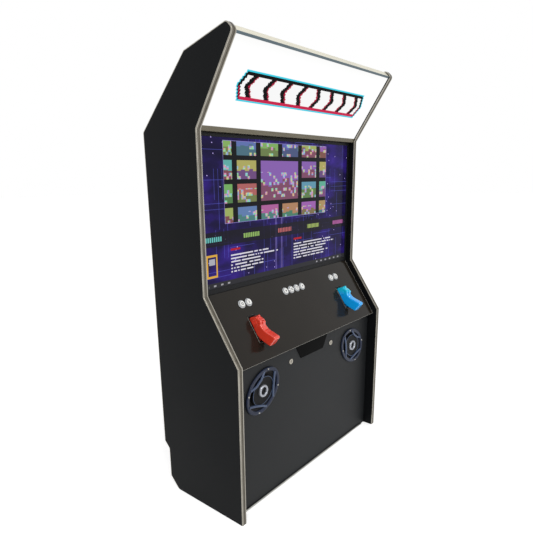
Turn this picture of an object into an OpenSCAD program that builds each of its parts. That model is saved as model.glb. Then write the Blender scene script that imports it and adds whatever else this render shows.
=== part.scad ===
// Upright two-player arcade cabinet with a full-width screen, a lit marquee, two holstered
// light guns, eight push buttons, a locked front panel with speakers and a rear service door.
//
// Frame: +Z up, front faces -Y, +X to the right of someone who stands before the front.
// Origin: on the floor, under the middle of the side panels' depth and of the width.
// Inside the modules, a point (y, z) of the side view counts y from the front edge backwards.

/* [Screen] */
// Width of the display over its bezel
screen_w = 964; // [700:1:1200]
// Height of the display over its bezel
screen_h = 556; // [400:1:700]
// Gap between the display and each side panel
screen_gap = 2; // [1:0.5:10]
// How far the display's face sits behind the side panels' edge
screen_setback = 26; // [10:1:40]
// Bezel border at the sides and the top
bezel_border = 12; // [6:0.5:30]
// Bezel border at the bottom
bezel_chin = 16; // [8:0.5:40]
// Thickness of the bezel frame, front to back
bezel_t = 14; // [8:0.5:30]
// Thickness of the bezel's front lip
bezel_lip = 3; // [1:0.5:5]
// Thickness of the glass and its panel
glass_t = 6; // [3:0.5:9]
// Depth of the display's rear case
rear_case_t = 60; // [30:1:90]

/* [Side panels] */
// Thickness of each side panel
side_t = 22; // [16:0.5:30]
// Depth from the front edge to the rear edge
depth = 435; // [400:1:600]
// Height at which the control deck starts, at the front edge
deck_front_z = 623; // [560:1:760]
// Length of the control deck's slope
deck_len = 281; // [260:1:330]
// Angle of the control deck from level
deck_angle = 55.8; // [45:0.1:65]
// Length of the marquee's slope
marquee_len = 314; // [240:1:380]
// Angle of the marquee from level
marquee_angle = 56.6; // [50:0.1:75]
// Rise of the rounded nose above the marquee
nose_rise = 25; // [18:1:40]
// Length of the roof's front slope
roof_len = 197; // [150:1:260]
// Fall of the roof's front slope
roof_angle = 15.3; // [8:0.1:25]
// Angle of the steep rear slope from level
rear_slope_angle = 44.5; // [35:0.5:60]
// Height of the step in the rear edge
step_z = 173; // [150:1:220]
// Size of that step, up and back
step = 26; // [10:1:40]
// Size of the chamfer at the rear foot
heel = 45; // [35:1:60]

/* [Edge trim] */
// Thickness of the edge trim's cap
trim_t = 3; // [1.5:0.1:5]
// Height of the two ribs on the cap
rib_h = 0.9; // [0.3:0.1:1.2]
// Width of each rib
rib_w = 7.5; // [4:0.5:9]
// Thickness of the trim's barb
barb_t = 1.6; // [1:0.1:3]
// Depth of the trim's barb
barb_len = 9; // [5:0.5:14]

/* [Boards] */
// Thickness of the wooden boards
board_t = 18; // [12:0.5:25]
// How far the rear and roof boards sit inside the side panels' edge
reveal = 6; // [3:0.5:15]
// Width of a square batten
batten = 20; // [12:1:30]
// How far the front panel sits behind the side panels' front edge
front_recess = 48; // [44:1:70]
// Gap between the front panel and each side panel
front_gap = 3; // [1:0.5:6]
// Height of the rear door's lower edge
rear_door_bottom = 204; // [203:1:260]
// Height of the rear door's upper edge
rear_door_top = 896; // [700:1:1000]
// Radius of the rear door's pivot pins
pivot_r = 4; // [2:0.5:6]

/* [Marquee] */
// Thickness of the lit marquee sheet
marquee_t = 3; // [2:0.5:6]
// Thickness of the retainer strips
retainer_t = 1.6; // [1:0.1:2]
// Width of the upper retainer strip over the marquee
retainer_w = 13; // [12:0.5:25]
// Distance from the marquee to the light board behind it
light_gap = 64; // [45:1:80]

/* [Control deck] */
// Recess of the deck's surface inside the side panels' edge
deck_recess = 24; // [12:1:30]
// Thickness of the acrylic overlay
overlay_t = 3; // [2:0.5:5]
// Bare margin between the overlay and each side panel
overlay_margin = 9; // [3:1:20]
// Distance of each player's place from the centre line
station_x = 307; // [250:1:330]
// Distance between neighbouring buttons
button_pitch = 38.5; // [37:0.5:50]
// Distance of the button row up the deck
button_s = 225; // [215:1:240]
// Radius of a button's hole in the deck
button_hole_r = 15; // [14:0.1:16]
// Radius of the plunger that is pressed
plunger_r = 12; // [9:0.1:12.5]
// Travel of a button
button_travel = 3; // [1.5:0.1:4]

/* [Guns] */
// Start of the holster's pocket, up the deck
pocket_start = 66; // [60:1:68]
// End of the holster's pocket, up the deck
pocket_end = 169; // [168:1:180]
// Width of the holster's pocket
pocket_w = 34; // [34:0.5:50]
// Depth of the holster's pocket below the deck
pocket_depth = 155; // [120:1:158]
// Wall of the holster
holster_wall = 2.5; // [1.5:0.5:4]
// Width of a gun's slide
slide_w = 28; // [22:0.5:30]
// Width of a gun's grip
grip_w = 32; // [26:0.5:34]

/* [Speakers] */
// Height of the speakers' centres
speaker_z = 472; // [430:1:480]
// Distance of each speaker from the centre line
speaker_x = 328; // [260:1:340]
// Long axis of a speaker's frame
speaker_long = 206; // [160:1:220]
// Short axis of a speaker's frame
speaker_short = 158; // [120:1:180]
// Lean of each speaker's long axis from level
speaker_lean = 34; // [0:1:60]
// Width of the frame's flange around the opening
speaker_flange = 13; // [10:0.5:18]
// Depth of the basket behind the flange
basket_depth = 52; // [35:1:70]

/* [Locks and badge] */
// Distance of each lock from the centre line
lock_x = 147; // [130:1:160]
// Height of the locks
lock_z = 534; // [526:1:538]
// Radius of a lock's barrel
barrel_r = 8.9; // [7:0.1:10]
// Radius of a lock's turning plug
plug_r = 5.5; // [4:0.1:6]
// Length of a lock's cam from its axis
cam_len = 34; // [34:0.5:42]
// Width of the blank badge along its top edge
badge_top_w = 230; // [120:1:240]
// Width of the blank badge along its bottom edge
badge_bottom_w = 162; // [80:1:180]
// Height of the blank badge
badge_h = 57; // [30:1:58]

/* [Castors] */
// Radius of the two tilt castors
wheel_r = 25; // [15:0.5:25]
// Width of a castor's wheel
wheel_w = 20; // [12:0.5:28]
// Distance of each castor's middle from the side panel
wheel_inset = 54; // [40:1:150]
// Radius of a castor's axle
axle_r = 3; // [2:0.25:5]

/* [Hidden] */
$fn = 48;
eps = 0.01;
run_fit = 0.06;     // radial running clearance of pins, plugs and plungers
seat_gap = 0.4;     // clearance between parts that move past each other

function unit(v) = v / norm(v);
function left_of(u) = [-u.y, u.x];

// Side view outline, anticlockwise from the front foot; y runs backwards, z up.
deck_dir = [cos(deck_angle), sin(deck_angle)];
deck_front = [0, deck_front_z];
deck_rear = deck_front + deck_len * deck_dir;
screen_y = deck_rear.x + screen_setback;
// Height of the deck's surface where it is y behind the front edge
function deck_z(y, below = 0) = deck_front_z - (deck_recess + below) / cos(deck_angle)
                                + y * tan(deck_angle);
screen_z = deck_z(screen_y) + 0.5;
screen_top = screen_z + screen_h;
soffit_z = screen_top + 2;
marquee_foot = [deck_rear.x, screen_top + 5.5];
marquee_dir = [cos(marquee_angle), -sin(marquee_angle)];
marquee_head = marquee_foot - marquee_len * marquee_dir;
peak = marquee_head + [nose_rise, nose_rise];
roof_rear = peak + roof_len * [cos(roof_angle), -sin(roof_angle)];
height = peak.y;
shoulder = [depth, roof_rear.y - (depth - roof_rear.x) * tan(rear_slope_angle)];
lower_back = depth - step;
outline = [
    [0, -trim_t], [lower_back - heel - trim_t, -trim_t], [lower_back, heel],
    [lower_back, step_z], [depth, step_z + step], shoulder, roof_rear, peak,
    marquee_head, marquee_foot, deck_rear, deck_front
];
corner_r = [0, 4, 6, 6, 6, 12, 10, 16, 16, 8, 8, 10];

inner_w = screen_w + 2 * screen_gap;
half_in = inner_w / 2;
width = inner_w + 2 * side_t;
front_y = -depth / 2;

// Outline moved inwards by d on every side
function inset(pts, d) = let (n = len(pts)) [
    for (i = [0 : n - 1])
        let (a = left_of(unit(pts[i] - pts[(i + n - 1) % n])),
             b = left_of(unit(pts[(i + 1) % n] - pts[i])))
        pts[i] + d * (a + b) / (1 + a * b)
];
function turned(v, angle) = [v.x * cos(angle) - v.y * sin(angle), v.x * sin(angle) + v.y * cos(angle)];
// Points of the arc of radius r that rounds the corner b between a and c
function corner(a, b, c, r, steps = 5) =
    let (u = unit(a - b), v = unit(c - b), half = acos(u * v) / 2,
         centre = b + unit(u + v) * r / sin(half),
         start = b + u * r / tan(half) - centre,
         way = sign(cross(b - a, c - b)))
    r <= 0 ? [b] : [for (k = [0 : steps]) centre + turned(start, way * (180 - 2 * half) * k / steps)];
function rounded(pts, radii) = let (n = len(pts)) [
    for (i = [0 : n - 1])
        each corner(pts[(i + n - 1) % n], pts[i], pts[(i + 1) % n], radii[i])
];
// Side outline moved inwards by d, with its corners rounded
function side_outline(d) = let (n = len(outline)) rounded(inset(outline, d), [
    for (i = [0 : n - 1])
        let (way = sign(cross(outline[i] - outline[(i + n - 1) % n], outline[(i + 1) % n] - outline[i])))
        corner_r[i] == 0 ? 0 : max(corner_r[i] - way * d, 0.5)
]);
// Quadrilateral between the insets a and b along the outline's edge i, mitred at both ends
function edge_board(i, a, b) = let (p = inset(outline, a), q = inset(outline, b))
    [p[i], p[i + 1], q[i + 1], q[i]];
// Quadrilateral s0 to s1 along the line from p to q, and d0 to d1 inwards from it
function strip(p, q, s0, s1, d0, d1) = let (u = unit(q - p), n = left_of(u))
    [p + u * s0 + n * d0, p + u * s1 + n * d0, p + u * s1 + n * d1, p + u * s0 + n * d1];
function oval(long, short, count = 48) = [
    for (k = [0 : count - 1]) [long / 2 * cos(360 * k / count), short / 2 * sin(360 * k / count)]
];

// Prism along X from x0 to x1 with the side view pts
module span(pts, x0, x1) {
    translate([x0, front_y, 0]) rotate([90, 0, 90]) linear_extrude(x1 - x0) polygon(pts);
}
// Box with y counted from the front edge
module block(x, y, z) {
    translate([x[0], front_y + y[0], z[0]]) cube([x[1] - x[0], y[1] - y[0], z[1] - z[0]]);
}
// Children drawn on the deck: X across, Y up the slope, Z out of the surface
module on_deck() {
    translate([0, front_y, deck_z(0)]) rotate([deck_angle, 0, 0])
        children();
}
deck_shift = deck_recess * tan(deck_angle);  // along the slope, from y = 0 to the deck's start mark
// Children drawn on the front panel's face: X across, Y up, Z out to the front
module on_front() {
    translate([0, front_y + front_recess, 0]) rotate([90, 0, 0]) children();
}
module rod(x0, x1, y, z, r) {
    translate([x0, front_y + y, z]) rotate([0, 90, 0]) cylinder(h = x1 - x0, r = r);
}
module mirrored_pair() {
    children();
    mirror([1, 0, 0]) children();
}

// ---- Side panels and their trim ----
barb_in = trim_t + barb_len;
rear_pivot = [depth - reveal - 5, rear_door_bottom + 6];

module side_panel() {
    difference() {
        span(side_outline(trim_t), half_in, half_in + side_t);
        difference() {
            span(side_outline(trim_t - 1), half_in + (side_t - barb_t) / 2 - 0.1,
                 half_in + (side_t + barb_t) / 2 + 0.1);
            span(side_outline(barb_in + 0.5), half_in, half_in + side_t);
            block([half_in, half_in + side_t], [0, depth], [-trim_t, barb_in + 1]);
        }
        rod(half_in - 1, half_in + 8, rear_pivot.x, rear_pivot.y, pivot_r + run_fit);
    }
}
module left_side_panel() { color("#26282b") mirror([1, 0, 0]) side_panel(); }
module right_side_panel() { color("#26282b") side_panel(); }

module side_trim() {
    difference() {
        union() {
            difference() {
                span(side_outline(rib_h), half_in, half_in + side_t);
                span(side_outline(trim_t), half_in - 1, half_in + side_t + 1);
            }
            for (x = [half_in + 1, half_in + side_t - 1 - rib_w]) difference() {
                span(side_outline(0), x, x + rib_w);
                span(side_outline(rib_h + 0.2), x - 1, x + rib_w + 1);
            }
            difference() {
                span(side_outline(trim_t - 0.5), half_in + (side_t - barb_t) / 2,
                     half_in + (side_t + barb_t) / 2);
                span(side_outline(barb_in), half_in, half_in + side_t);
                block([half_in, half_in + side_t], [trim_t, lower_back - trim_t], [-trim_t, barb_in + 2]);
            }
        }
        block([half_in - 1, half_in + side_t + 1], [-10, depth + 10], [-10, 0.5]);
        block([half_in - 1, half_in + side_t + 1], [trim_t + eps, lower_back - heel], [-10, barb_in + 2]);
    }
}
module left_edge_trim() { color("#b9bcc0") mirror([1, 0, 0]) side_trim(); }
module right_edge_trim() { color("#b9bcc0") side_trim(); }

// ---- Wooden case ----
base_front = front_recess + 2;
tongue_h = 4;
base_rear = lower_back - heel - 7;
shelf_z = 2 * wheel_r + 6;
lower_rear_y = lower_back - reveal;
sill_z = step_z + 5;

module base_board() {
    color("#1b1b1c") {
        difference() {
            block([-half_in, half_in], [base_front, base_rear], [0, board_t]);
            block([-half_in - 1, half_in + 1], [0, front_recess + board_t + 4], [tongue_h, board_t + 1]);
        }
    }
}
module lower_rear_panel() {
    color("#1b1b1c") difference() {
        block([-half_in, half_in], [lower_rear_y - board_t, lower_rear_y],
              [shelf_z + board_t, sill_z]);
        block([inlet_x - inlet_w / 2, inlet_x + inlet_w / 2],
              [lower_rear_y - board_t - 1, lower_rear_y + 1],
              [inlet_z - inlet_h / 2, inlet_z + inlet_h / 2]);
    }
}
rear_out = depth - reveal;
rear_in = rear_out - board_t;
rear_split = rear_door_top + 4;
module upper_rear_panel() {
    corners = edge_board(4, reveal, reveal + board_t);
    color("#1b1b1c") difference() {
        span([[rear_out, rear_split], corners[1], corners[2], [rear_in, rear_split]], -half_in, half_in);
        for (x = [-250, 250]) rear_vents([x - 70, x + 70], shoulder.y - 264, 10);
    }
}
vent_pitch = 16;
vent_h = 7;
// Slots through the rear boards, one above the other from height z
module rear_vents(x, z, count) {
    for (k = [0 : count - 1])
        block(x, [rear_in - 1, rear_out + 1], [z + vent_pitch * k, z + vent_pitch * k + vent_h]);
}
module rear_slope_panel() {
    color("#1b1b1c") span(edge_board(5, reveal, reveal + board_t), -half_in, half_in);
}
module top_board() {
    color("#1b1b1c") span(edge_board(6, reveal, reveal + board_t), -half_in, half_in);
}

butt_gap = 0.1;     // hairline between boards that butt against each other
front_top = 588;
strike_y = front_recess + board_t + 1;
strike_t = 8;
strike_drop = 30;
cam_gap = 1;        // between a lock's turned cam and the strike
sill_h = 23;
rail_z = [screen_z + 0.36 * screen_h, screen_z + 0.72 * screen_h];
rail_h = 70;
rail_y = screen_y + bezel_t + rear_case_t + 18;
shelf_depth = 120;
lock_rail_z = front_top + 3;
lock_rail_rear = strike_y + strike_t;
deck_rail_rear = front_recess + 21;  // clear of the holsters' front walls
lock_rail = [
    [front_recess, lock_rail_z], [deck_rail_rear, lock_rail_z],
    [deck_rail_rear, deck_z(deck_rail_rear, overlay_t + board_t)],
    [front_recess, deck_z(front_recess, overlay_t + board_t)]
];
door_swing = 16;    // height that the door's inner lower edge needs as it swings past the cleats
// Start of the deck's cleats, just behind the lock rail
cleat_start = (lock_rail_rear + 1 - (overlay_t + board_t) * sin(deck_angle)) / cos(deck_angle);
cleat_len = 170;
light_in = reveal + retainer_t + marquee_t + light_gap;

module wood_battens() {
    color("#8d6a45") {
        // Rail above the front panel, and the strip that the lock cams catch
        span(lock_rail, -half_in, half_in);
        block([-half_in, half_in], [strike_y, lock_rail_rear],
              [front_top - strike_drop, lock_rail_z - butt_gap]);
        // Deck cleats on the side panels
        mirrored_pair() on_deck()
            translate([half_in - batten, cleat_start, -overlay_t - board_t - batten])
                cube([batten, cleat_len, batten]);
        // Rear cleats that the rear door and panel close against
        mirrored_pair()
            block([half_in - batten, half_in], [rear_in - batten - 0.5, rear_in - 0.5],
                  [rear_door_bottom + door_swing, shoulder.y - 40]);
        // Riser and shelf over the castors
        block([-half_in, half_in], [base_rear - board_t, base_rear], [board_t, shelf_z - butt_gap]);
        block([-half_in, half_in], [base_rear - board_t, lower_rear_y], [shelf_z, shelf_z + board_t]);
        // Sill under the rear door
        span([[lower_rear_y - board_t, sill_z], [lower_rear_y + 3, sill_z],
              [rear_out - 2, sill_z + step - 5], [rear_out - 2, sill_z + sill_h],
              [lower_rear_y - board_t, sill_z + sill_h]], -half_in, half_in);
        // Rails that carry the display
        for (z = rail_z)
            block([-half_in, half_in], [rail_y, rail_y + board_t], [z, z + rail_h]);
        // Shelf under the marquee's light
        block([-half_in, half_in], [marquee_foot.x + 28, marquee_foot.x + shelf_depth],
              [soffit_z + retainer_t, soffit_z + retainer_t + 12]);
        // Strike for the rear door's lock
        block([-60, 60], [rear_in - (cam_depth - board_t - cam_gap), rear_in],
              [rear_split, rear_split + strike_drop]);
    }
}

// ---- Marquee ----
module marquee_panel() {
    face = reveal + retainer_t + butt_gap;
    color("#f6f6f6") span(strip(marquee_head, marquee_foot, 10, marquee_len - 2, face, face + marquee_t),
                          -half_in + 1, half_in - 1);
}
module marquee_retainers() {
    nose = edge_board(7, reveal, reveal + retainer_t);
    top = strip(marquee_head, marquee_foot, 0, retainer_w, reveal, reveal + retainer_t);
    color("#a9a69c") {
        span([nose[0], nose[1], top[1], top[2], nose[2], nose[3]], -half_in, half_in);
        lip = strip(marquee_head, marquee_foot, marquee_len - 10, marquee_len, reveal,
                    reveal + retainer_t);
        span([lip[0], [lip[1].x, soffit_z], [screen_y + 2, soffit_z],
              [screen_y + 2, soffit_z + retainer_t], [lip[2].x, soffit_z + retainer_t],
              lip[2], lip[3]], -half_in, half_in);
    }
}
light_board_t = 9;
led_w = 24;
led_t = 12;
module marquee_light_board() {
    color("#e8e8e4") span(strip(marquee_head, marquee_foot, 0.3 * marquee_len, 0.92 * marquee_len,
        light_in, light_in + light_board_t), -half_in, half_in);
}
module marquee_led_strips() {
    color("#fff6d8") for (s = [0.41 * marquee_len, 0.67 * marquee_len])
        span(strip(marquee_head, marquee_foot, s, s + led_w, light_in - led_t, light_in - butt_gap),
             -half_in + 30, half_in - 30);
}

// ---- Display ----
module screen_bezel() {
    color("#101113") difference() {
        block([-screen_w / 2, screen_w / 2], [screen_y, screen_y + bezel_t], [screen_z, screen_top]);
        block([-screen_w / 2 + 6, screen_w / 2 - 6], [screen_y + bezel_lip, screen_y + bezel_t + 1],
              [screen_z + 6, screen_top - 6]);
        block([-screen_w / 2 + bezel_border, screen_w / 2 - bezel_border],
              [screen_y - 1, screen_y + bezel_t], [screen_z + bezel_chin, screen_top - bezel_border]);
    }
}
module screen_panel() {
    color("#3b2a7a") block([-screen_w / 2 + 7, screen_w / 2 - 7],
        [screen_y + bezel_lip, screen_y + bezel_lip + glass_t], [screen_z + 7, screen_top - 7]);
}
module screen_rear_case() {
    rim = 16;
    bulge = [screen_w * 0.36, screen_h * 0.4];
    mid = screen_z + screen_h / 2;
    color("#1d1e20") {
        block([-screen_w / 2 + rim, screen_w / 2 - rim],
              [screen_y + bezel_t, screen_y + bezel_t + rear_case_t / 3],
              [screen_z + rim, screen_top - rim]);
        block([-screen_w / 2 + 7, screen_w / 2 - 7],
              [screen_y + bezel_lip + glass_t, screen_y + bezel_t],
              [screen_z + 7, screen_top - 7]);
        block([-bulge.x, bulge.x], [screen_y + bezel_t, screen_y + bezel_t + rear_case_t],
              [mid - bulge.y, mid + bulge.y * 0.7]);
    }
}
module screen_bracket() {
    back = screen_y + bezel_t + rear_case_t;
    mid = screen_z + screen_h / 2;
    color("#3a3c40") {
        block([-130, 130], [back, back + 3], [mid - 110, mid + 110]);
        for (x = [-110, 70])
            block([x, x + 40], [back + 3, rail_y], [rail_z[0], rail_z[1] + rail_h]);
    }
}

// ---- Control deck ----
deck_start = deck_shift - 6;
deck_end = (screen_y / cos(deck_angle)) - 3;
button_row = deck_shift + button_s;
pocket_lo = deck_shift + pocket_start;
pocket_hi = deck_shift + pocket_end;
button_x = [
    -station_x - button_pitch / 2, -station_x + button_pitch / 2,
    -1.5 * button_pitch, -0.5 * button_pitch, 0.5 * button_pitch, 1.5 * button_pitch,
    station_x - button_pitch / 2, station_x + button_pitch / 2
];
module at_button(i) { on_deck() translate([button_x[i], button_row, 0]) children(); }
module at_gun(side) { on_deck() translate([side * station_x, deck_shift, 0]) children(); }

// Holes that the buttons and the holsters need in the deck's layers
module deck_holes(hole_r) {
    for (i = [0 : 7]) translate([button_x[i], button_row, -100]) cylinder(h = 200, r = hole_r);
    for (side = [-1, 1])
        translate([side * station_x - pocket_w / 2 - holster_wall - 0.2,
                   pocket_lo - holster_wall - 0.2, -100])
            cube([pocket_w + 2 * holster_wall + 0.4, pocket_hi - pocket_lo + 2 * holster_wall + 0.4, 200]);
}
module control_board() {
    color("#141414") on_deck() difference() {
        translate([-half_in, deck_start, -overlay_t - board_t])
            cube([inner_w, deck_end - deck_start - 2, board_t]);
        deck_holes(button_hole_r);
    }
}
module control_overlay() {
    over_w = inner_w - 2 * overlay_margin;
    color("#1e1d1b") on_deck() difference() {
        translate([-over_w / 2, deck_start, -overlay_t])
            cube([over_w, deck_end - deck_start, overlay_t]);
        deck_holes(button_hole_r);
    }
}

// ---- Buttons ----
bezel_r = 16.5;
bezel_h = 3.2;
shell_r = button_hole_r - 0.3;
shell_depth = 36;
floor_t = 4;
stem_r = 2.5;
nut_t = 8;
module button_housings() {
    color("#d9dcdf") for (i = [0 : 7]) at_button(i) difference() {
        union() {
            translate([0, 0, -shell_depth]) cylinder(h = shell_depth, r = shell_r);
            cylinder(h = bezel_h - 1, r = bezel_r);
            translate([0, 0, bezel_h - 1 - eps]) cylinder(h = 1, r1 = bezel_r, r2 = bezel_r - 1.2);
        }
        translate([0, 0, -shell_depth + floor_t]) cylinder(h = 100, r = plunger_r + run_fit);
        translate([0, 0, -shell_depth - 1]) cylinder(h = 50, r = stem_r + run_fit);
    }
}
module button_nuts() {
    color("#e9e9e6") for (i = [0 : 7]) at_button(i)
        translate([0, 0, -overlay_t - board_t - nut_t]) difference() {
            union() {
                cylinder(h = nut_t, r = bezel_r + 1.5);
                for (a = [0 : 60 : 300]) rotate(a) translate([bezel_r, -1.5, 0]) cube([2.5, 3, nut_t]);
            }
            translate([0, 0, -1]) cylinder(h = nut_t + 2, r = shell_r);
        }
}
module button_switches() {
    color("#33363b") for (i = [0 : 7]) at_button(i) translate([0, 0, -shell_depth - 16]) {
        translate([-5, -14, 0]) cube([10, 28, 16]);
        for (s = [-9, 0, 9]) translate([-2.4, s - 0.4, -7]) cube([4.8, 0.8, 7.5]);
    }
}
module button_plunger(i) {
    color("#f2f2f0") at_button(i) {
        translate([0, 0, -16]) cylinder(h = 16 + bezel_h + 2.4, r = plunger_r);
        translate([0, 0, bezel_h + 2.4 - eps]) cylinder(h = 1.2, r1 = plunger_r, r2 = plunger_r - 1.8);
        translate([0, 0, -shell_depth + button_travel + 0.3])
            cylinder(h = shell_depth - 16, r = stem_r);
    }
}

// ---- Holsters and light guns: Y runs up the deck, Z out of it ----
module holster(side) {
    len_in = pocket_end - pocket_start;
    color("#1a1a1b") at_gun(side) difference() {
        union() {
            translate([-pocket_w / 2 - holster_wall, pocket_start - holster_wall,
                       -pocket_depth - holster_wall])
                cube([pocket_w + 2 * holster_wall, len_in + 2 * holster_wall, pocket_depth + holster_wall]);
            translate([-pocket_w / 2 - 2 * holster_wall, pocket_start - 2 * holster_wall, 0])
                cube([pocket_w + 4 * holster_wall, len_in + 4 * holster_wall, 1.4]);
        }
        translate([-pocket_w / 2, pocket_start, -pocket_depth])
            cube([pocket_w, len_in, pocket_depth + 10]);
    }
}
module left_holster() { holster(-1); }
module right_holster() { holster(1); }

muzzle = -pocket_depth + seat_gap;
barrel_s = 146;
trigger_pivot = [121, -30];
trigger_pin_r = 2;
trigger_w = 8;
// Side view of the gun's parts, as [up the deck, out of the deck]
slide_side = [[126, muzzle], [165, muzzle], [165, 8], [157, 30], [136, 43], [124, 40], [118, 30],
              [118, -4], [126, -10]];
sight_side = [[162, 20], [161, 36], [157, 41], [151, 39], [146, 30]];
tail_side = [[142, 34], [129, 49], [123, 48], [112, 36], [120, 26]];
grip_side = [[128, 20], [124, 38], [112, 37], [98, 41], [84, 50], [54, 73], [46, 71], [34, 33],
             [38, 27], [52, 17], [66, 8], [78, 1], [96, -6], [126, -6]];
guard_side = [[90, 6], [78, 1], [70, -6], [70, -42], [77, -53], [118, -60], [130, -64], [130, 0]];
guard_hole = [[90, -8], [77, -12], [76, -40], [81, -47], [116, -52], [119, -46], [119, -16],
              [112, -8]];
trigger_side = [[121, -35], [121, -25], [112, -26], [100, -29], [87, -34], [85, -38], [89, -39],
                [104, -35]];

// Prism across the gun, thick on both sides of its middle, from a side view
module slab(pts, half) {
    translate([-half, 0, 0]) rotate([90, 0, 90]) linear_extrude(2 * half) polygon(pts);
}
// The same with stepped edges, for a softened edge
module soft_slab(pts, half, soft) {
    slab(pts, half - soft);
    slab(inset(pts, 0.35 * soft), half - 0.4 * soft);
    slab(inset(pts, soft), half);
}
module gun_body() {
    difference() {
        union() {
            soft_slab(slide_side, slide_w / 2, 3);
            slab(sight_side, 4);
            slab(tail_side, 9);
            soft_slab(grip_side, grip_w / 2, 5);
            difference() {
                slab(guard_side, 7);
                slab(guard_hole, 8);
            }
        }
        // Slot for the trigger
        translate([-trigger_w / 2 - 0.5, trigger_pivot.x - 12, trigger_pivot.y - 8.5])
            cube([trigger_w + 1, 20, 17]);
        // Bore of the barrel
        translate([0, barrel_s, muzzle - 1]) cylinder(h = 60, r = 8);
    }
    translate([-trigger_w / 2 - 1, trigger_pivot.x, trigger_pivot.y]) rotate([0, 90, 0])
        cylinder(h = trigger_w + 2, r = trigger_pin_r);
}
module gun_trigger() {
    translate([-trigger_w / 2, 0, 0]) rotate([90, 0, 90]) linear_extrude(trigger_w) difference() {
        union() {
            polygon(trigger_side);
            translate(trigger_pivot) circle(r = 5);
        }
        translate(trigger_pivot) circle(r = trigger_pin_r + run_fit);
    }
}
module left_gun() { color("#c8352a") at_gun(-1) gun_body(); }
module right_gun() { color("#129fff") at_gun(1) gun_body(); }
module left_trigger() { color("#c8352a") at_gun(-1) gun_trigger(); }
module right_trigger() { color("#129fff") at_gun(1) gun_trigger(); }

// ---- Front panel with its hinge, locks and badge ----
hinge_pin_r = 1.3;
knuckle_r = 3.4;
leaf_t = 1.4;
hinge_axis = [front_recess - 3.6, tongue_h + leaf_t + 0.2];
front_bottom = hinge_axis.y + 0.2 + leaf_t;
hinge_half = half_in - 34;
knuckles = 9;

module speaker_place() {
    translate([-speaker_x, speaker_z, 0]) rotate(speaker_lean) children();
    translate([speaker_x, speaker_z, 0]) rotate(180 - speaker_lean) children();
}
// Places of a speaker's four screws, halfway across its flange
module at_speaker_screws() {
    for (a = [45 : 90 : 315])
        translate([(speaker_long - speaker_flange) / 2 * cos(a),
                   (speaker_short - speaker_flange) / 2 * sin(a), 0]) children();
}
screw_r = 2;
screw_len = 10;
module front_panel() {
    color("#33342f") difference() {
        block([-half_in + front_gap, half_in - front_gap], [front_recess, front_recess + board_t],
              [front_bottom, front_top]);
        on_front() {
            speaker_place() translate([0, 0, -board_t - 1]) linear_extrude(board_t + 2)
                polygon(oval(speaker_long - 2 * speaker_flange + 2, speaker_short - 2 * speaker_flange + 2));
            speaker_place() at_speaker_screws() translate([0, 0, -screw_len - 1])
                cylinder(h = screw_len + 2, r = screw_r);
            for (x = [-lock_x, lock_x]) translate([x, lock_z, -board_t - 1])
                cylinder(h = board_t + 2, r = barrel_r + 0.1);
        }
    }
}
// One leaf of the front hinge: odd knuckles and the pin are fixed, even ones turn
module hinge_leaf(first, z0, bored) {
    pitch = 2 * hinge_half / knuckles;
    block([-hinge_half, hinge_half], [front_recess + 0.2, front_recess + board_t], [z0, z0 + leaf_t]);
    for (k = [first : 2 : knuckles - 1]) let (x = -hinge_half + k * pitch) difference() {
        union() {
            rod(x + 0.2, x + pitch - 0.2, hinge_axis.x, hinge_axis.y, knuckle_r);
            block([x + 0.2, x + pitch - 0.2], [hinge_axis.x, front_recess + 1], [z0, z0 + leaf_t]);
        }
        if (bored) rod(x - 1, x + pitch + 1, hinge_axis.x, hinge_axis.y, hinge_pin_r + run_fit);
    }
}
module front_hinge_fixed_leaf() {
    color("#8e9093") {
        hinge_leaf(0, tongue_h, false);
        rod(-hinge_half + 1, hinge_half - 1, hinge_axis.x, hinge_axis.y, hinge_pin_r);
    }
}
module front_hinge_door_leaf() {
    color("#8e9093") hinge_leaf(1, hinge_axis.y + 0.2, true);
}
module name_plate() {
    color("#050505") on_front() linear_extrude(2.5) polygon([
        [-badge_bottom_w / 2, front_top - 2 - badge_h], [badge_bottom_w / 2, front_top - 2 - badge_h],
        [badge_top_w / 2, front_top - 2], [-badge_top_w / 2, front_top - 2]
    ]);
}
// Barrel with its head and nut; Z runs out of the panel's face
module barrel() {
    difference() {
        union() {
            translate([0, 0, -board_t - 9]) cylinder(h = board_t + 9, r = barrel_r);
            cylinder(h = 2, r = barrel_r + 2.8);
        }
        translate([0, 0, -board_t - 10]) cylinder(h = board_t + 20, r = plug_r + run_fit);
    }
    translate([0, 0, -board_t - 4]) difference() {
        cylinder(h = 4, r = barrel_r + 3, $fn = 6);
        translate([0, 0, -1]) cylinder(h = 6, r = barrel_r);
    }
}
// Plug with its key slot and cam, which points along turn_x when unlocked and passes the strike
cam_depth = lock_rail_rear + cam_gap - front_recess;
cam_t = 2;
module plug(turn_x) {
    difference() {
        translate([0, 0, -cam_depth - cam_t - 2]) cylinder(h = cam_depth + cam_t + 3.4, r = plug_r);
        translate([-0.6, -3.2, -4]) cube([1.2, 6.4, 10]);
    }
    translate([0, 0, -cam_depth - cam_t]) linear_extrude(cam_t)
        polygon([[0, -8], [turn_x * (cam_len - 4), -7], [turn_x * cam_len, -3],
                 [turn_x * cam_len, 3], [turn_x * (cam_len - 4), 7], [0, 8], [-turn_x * 7, 4],
                 [-turn_x * 7, -4]]);
    translate([0, 0, -cam_depth - cam_t - 4]) cylinder(h = 4, r = plug_r + 1.5, $fn = 6);
}
module lock_barrels() {
    color("#c9c6bd") on_front() for (x = [-lock_x, lock_x]) translate([x, lock_z, 0]) barrel();
}
module left_lock_plug() { color("#b3afa5") on_front() translate([-lock_x, lock_z, 0]) plug(-1); }
module right_lock_plug() { color("#b3afa5") on_front() translate([lock_x, lock_z, 0]) plug(1); }

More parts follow.
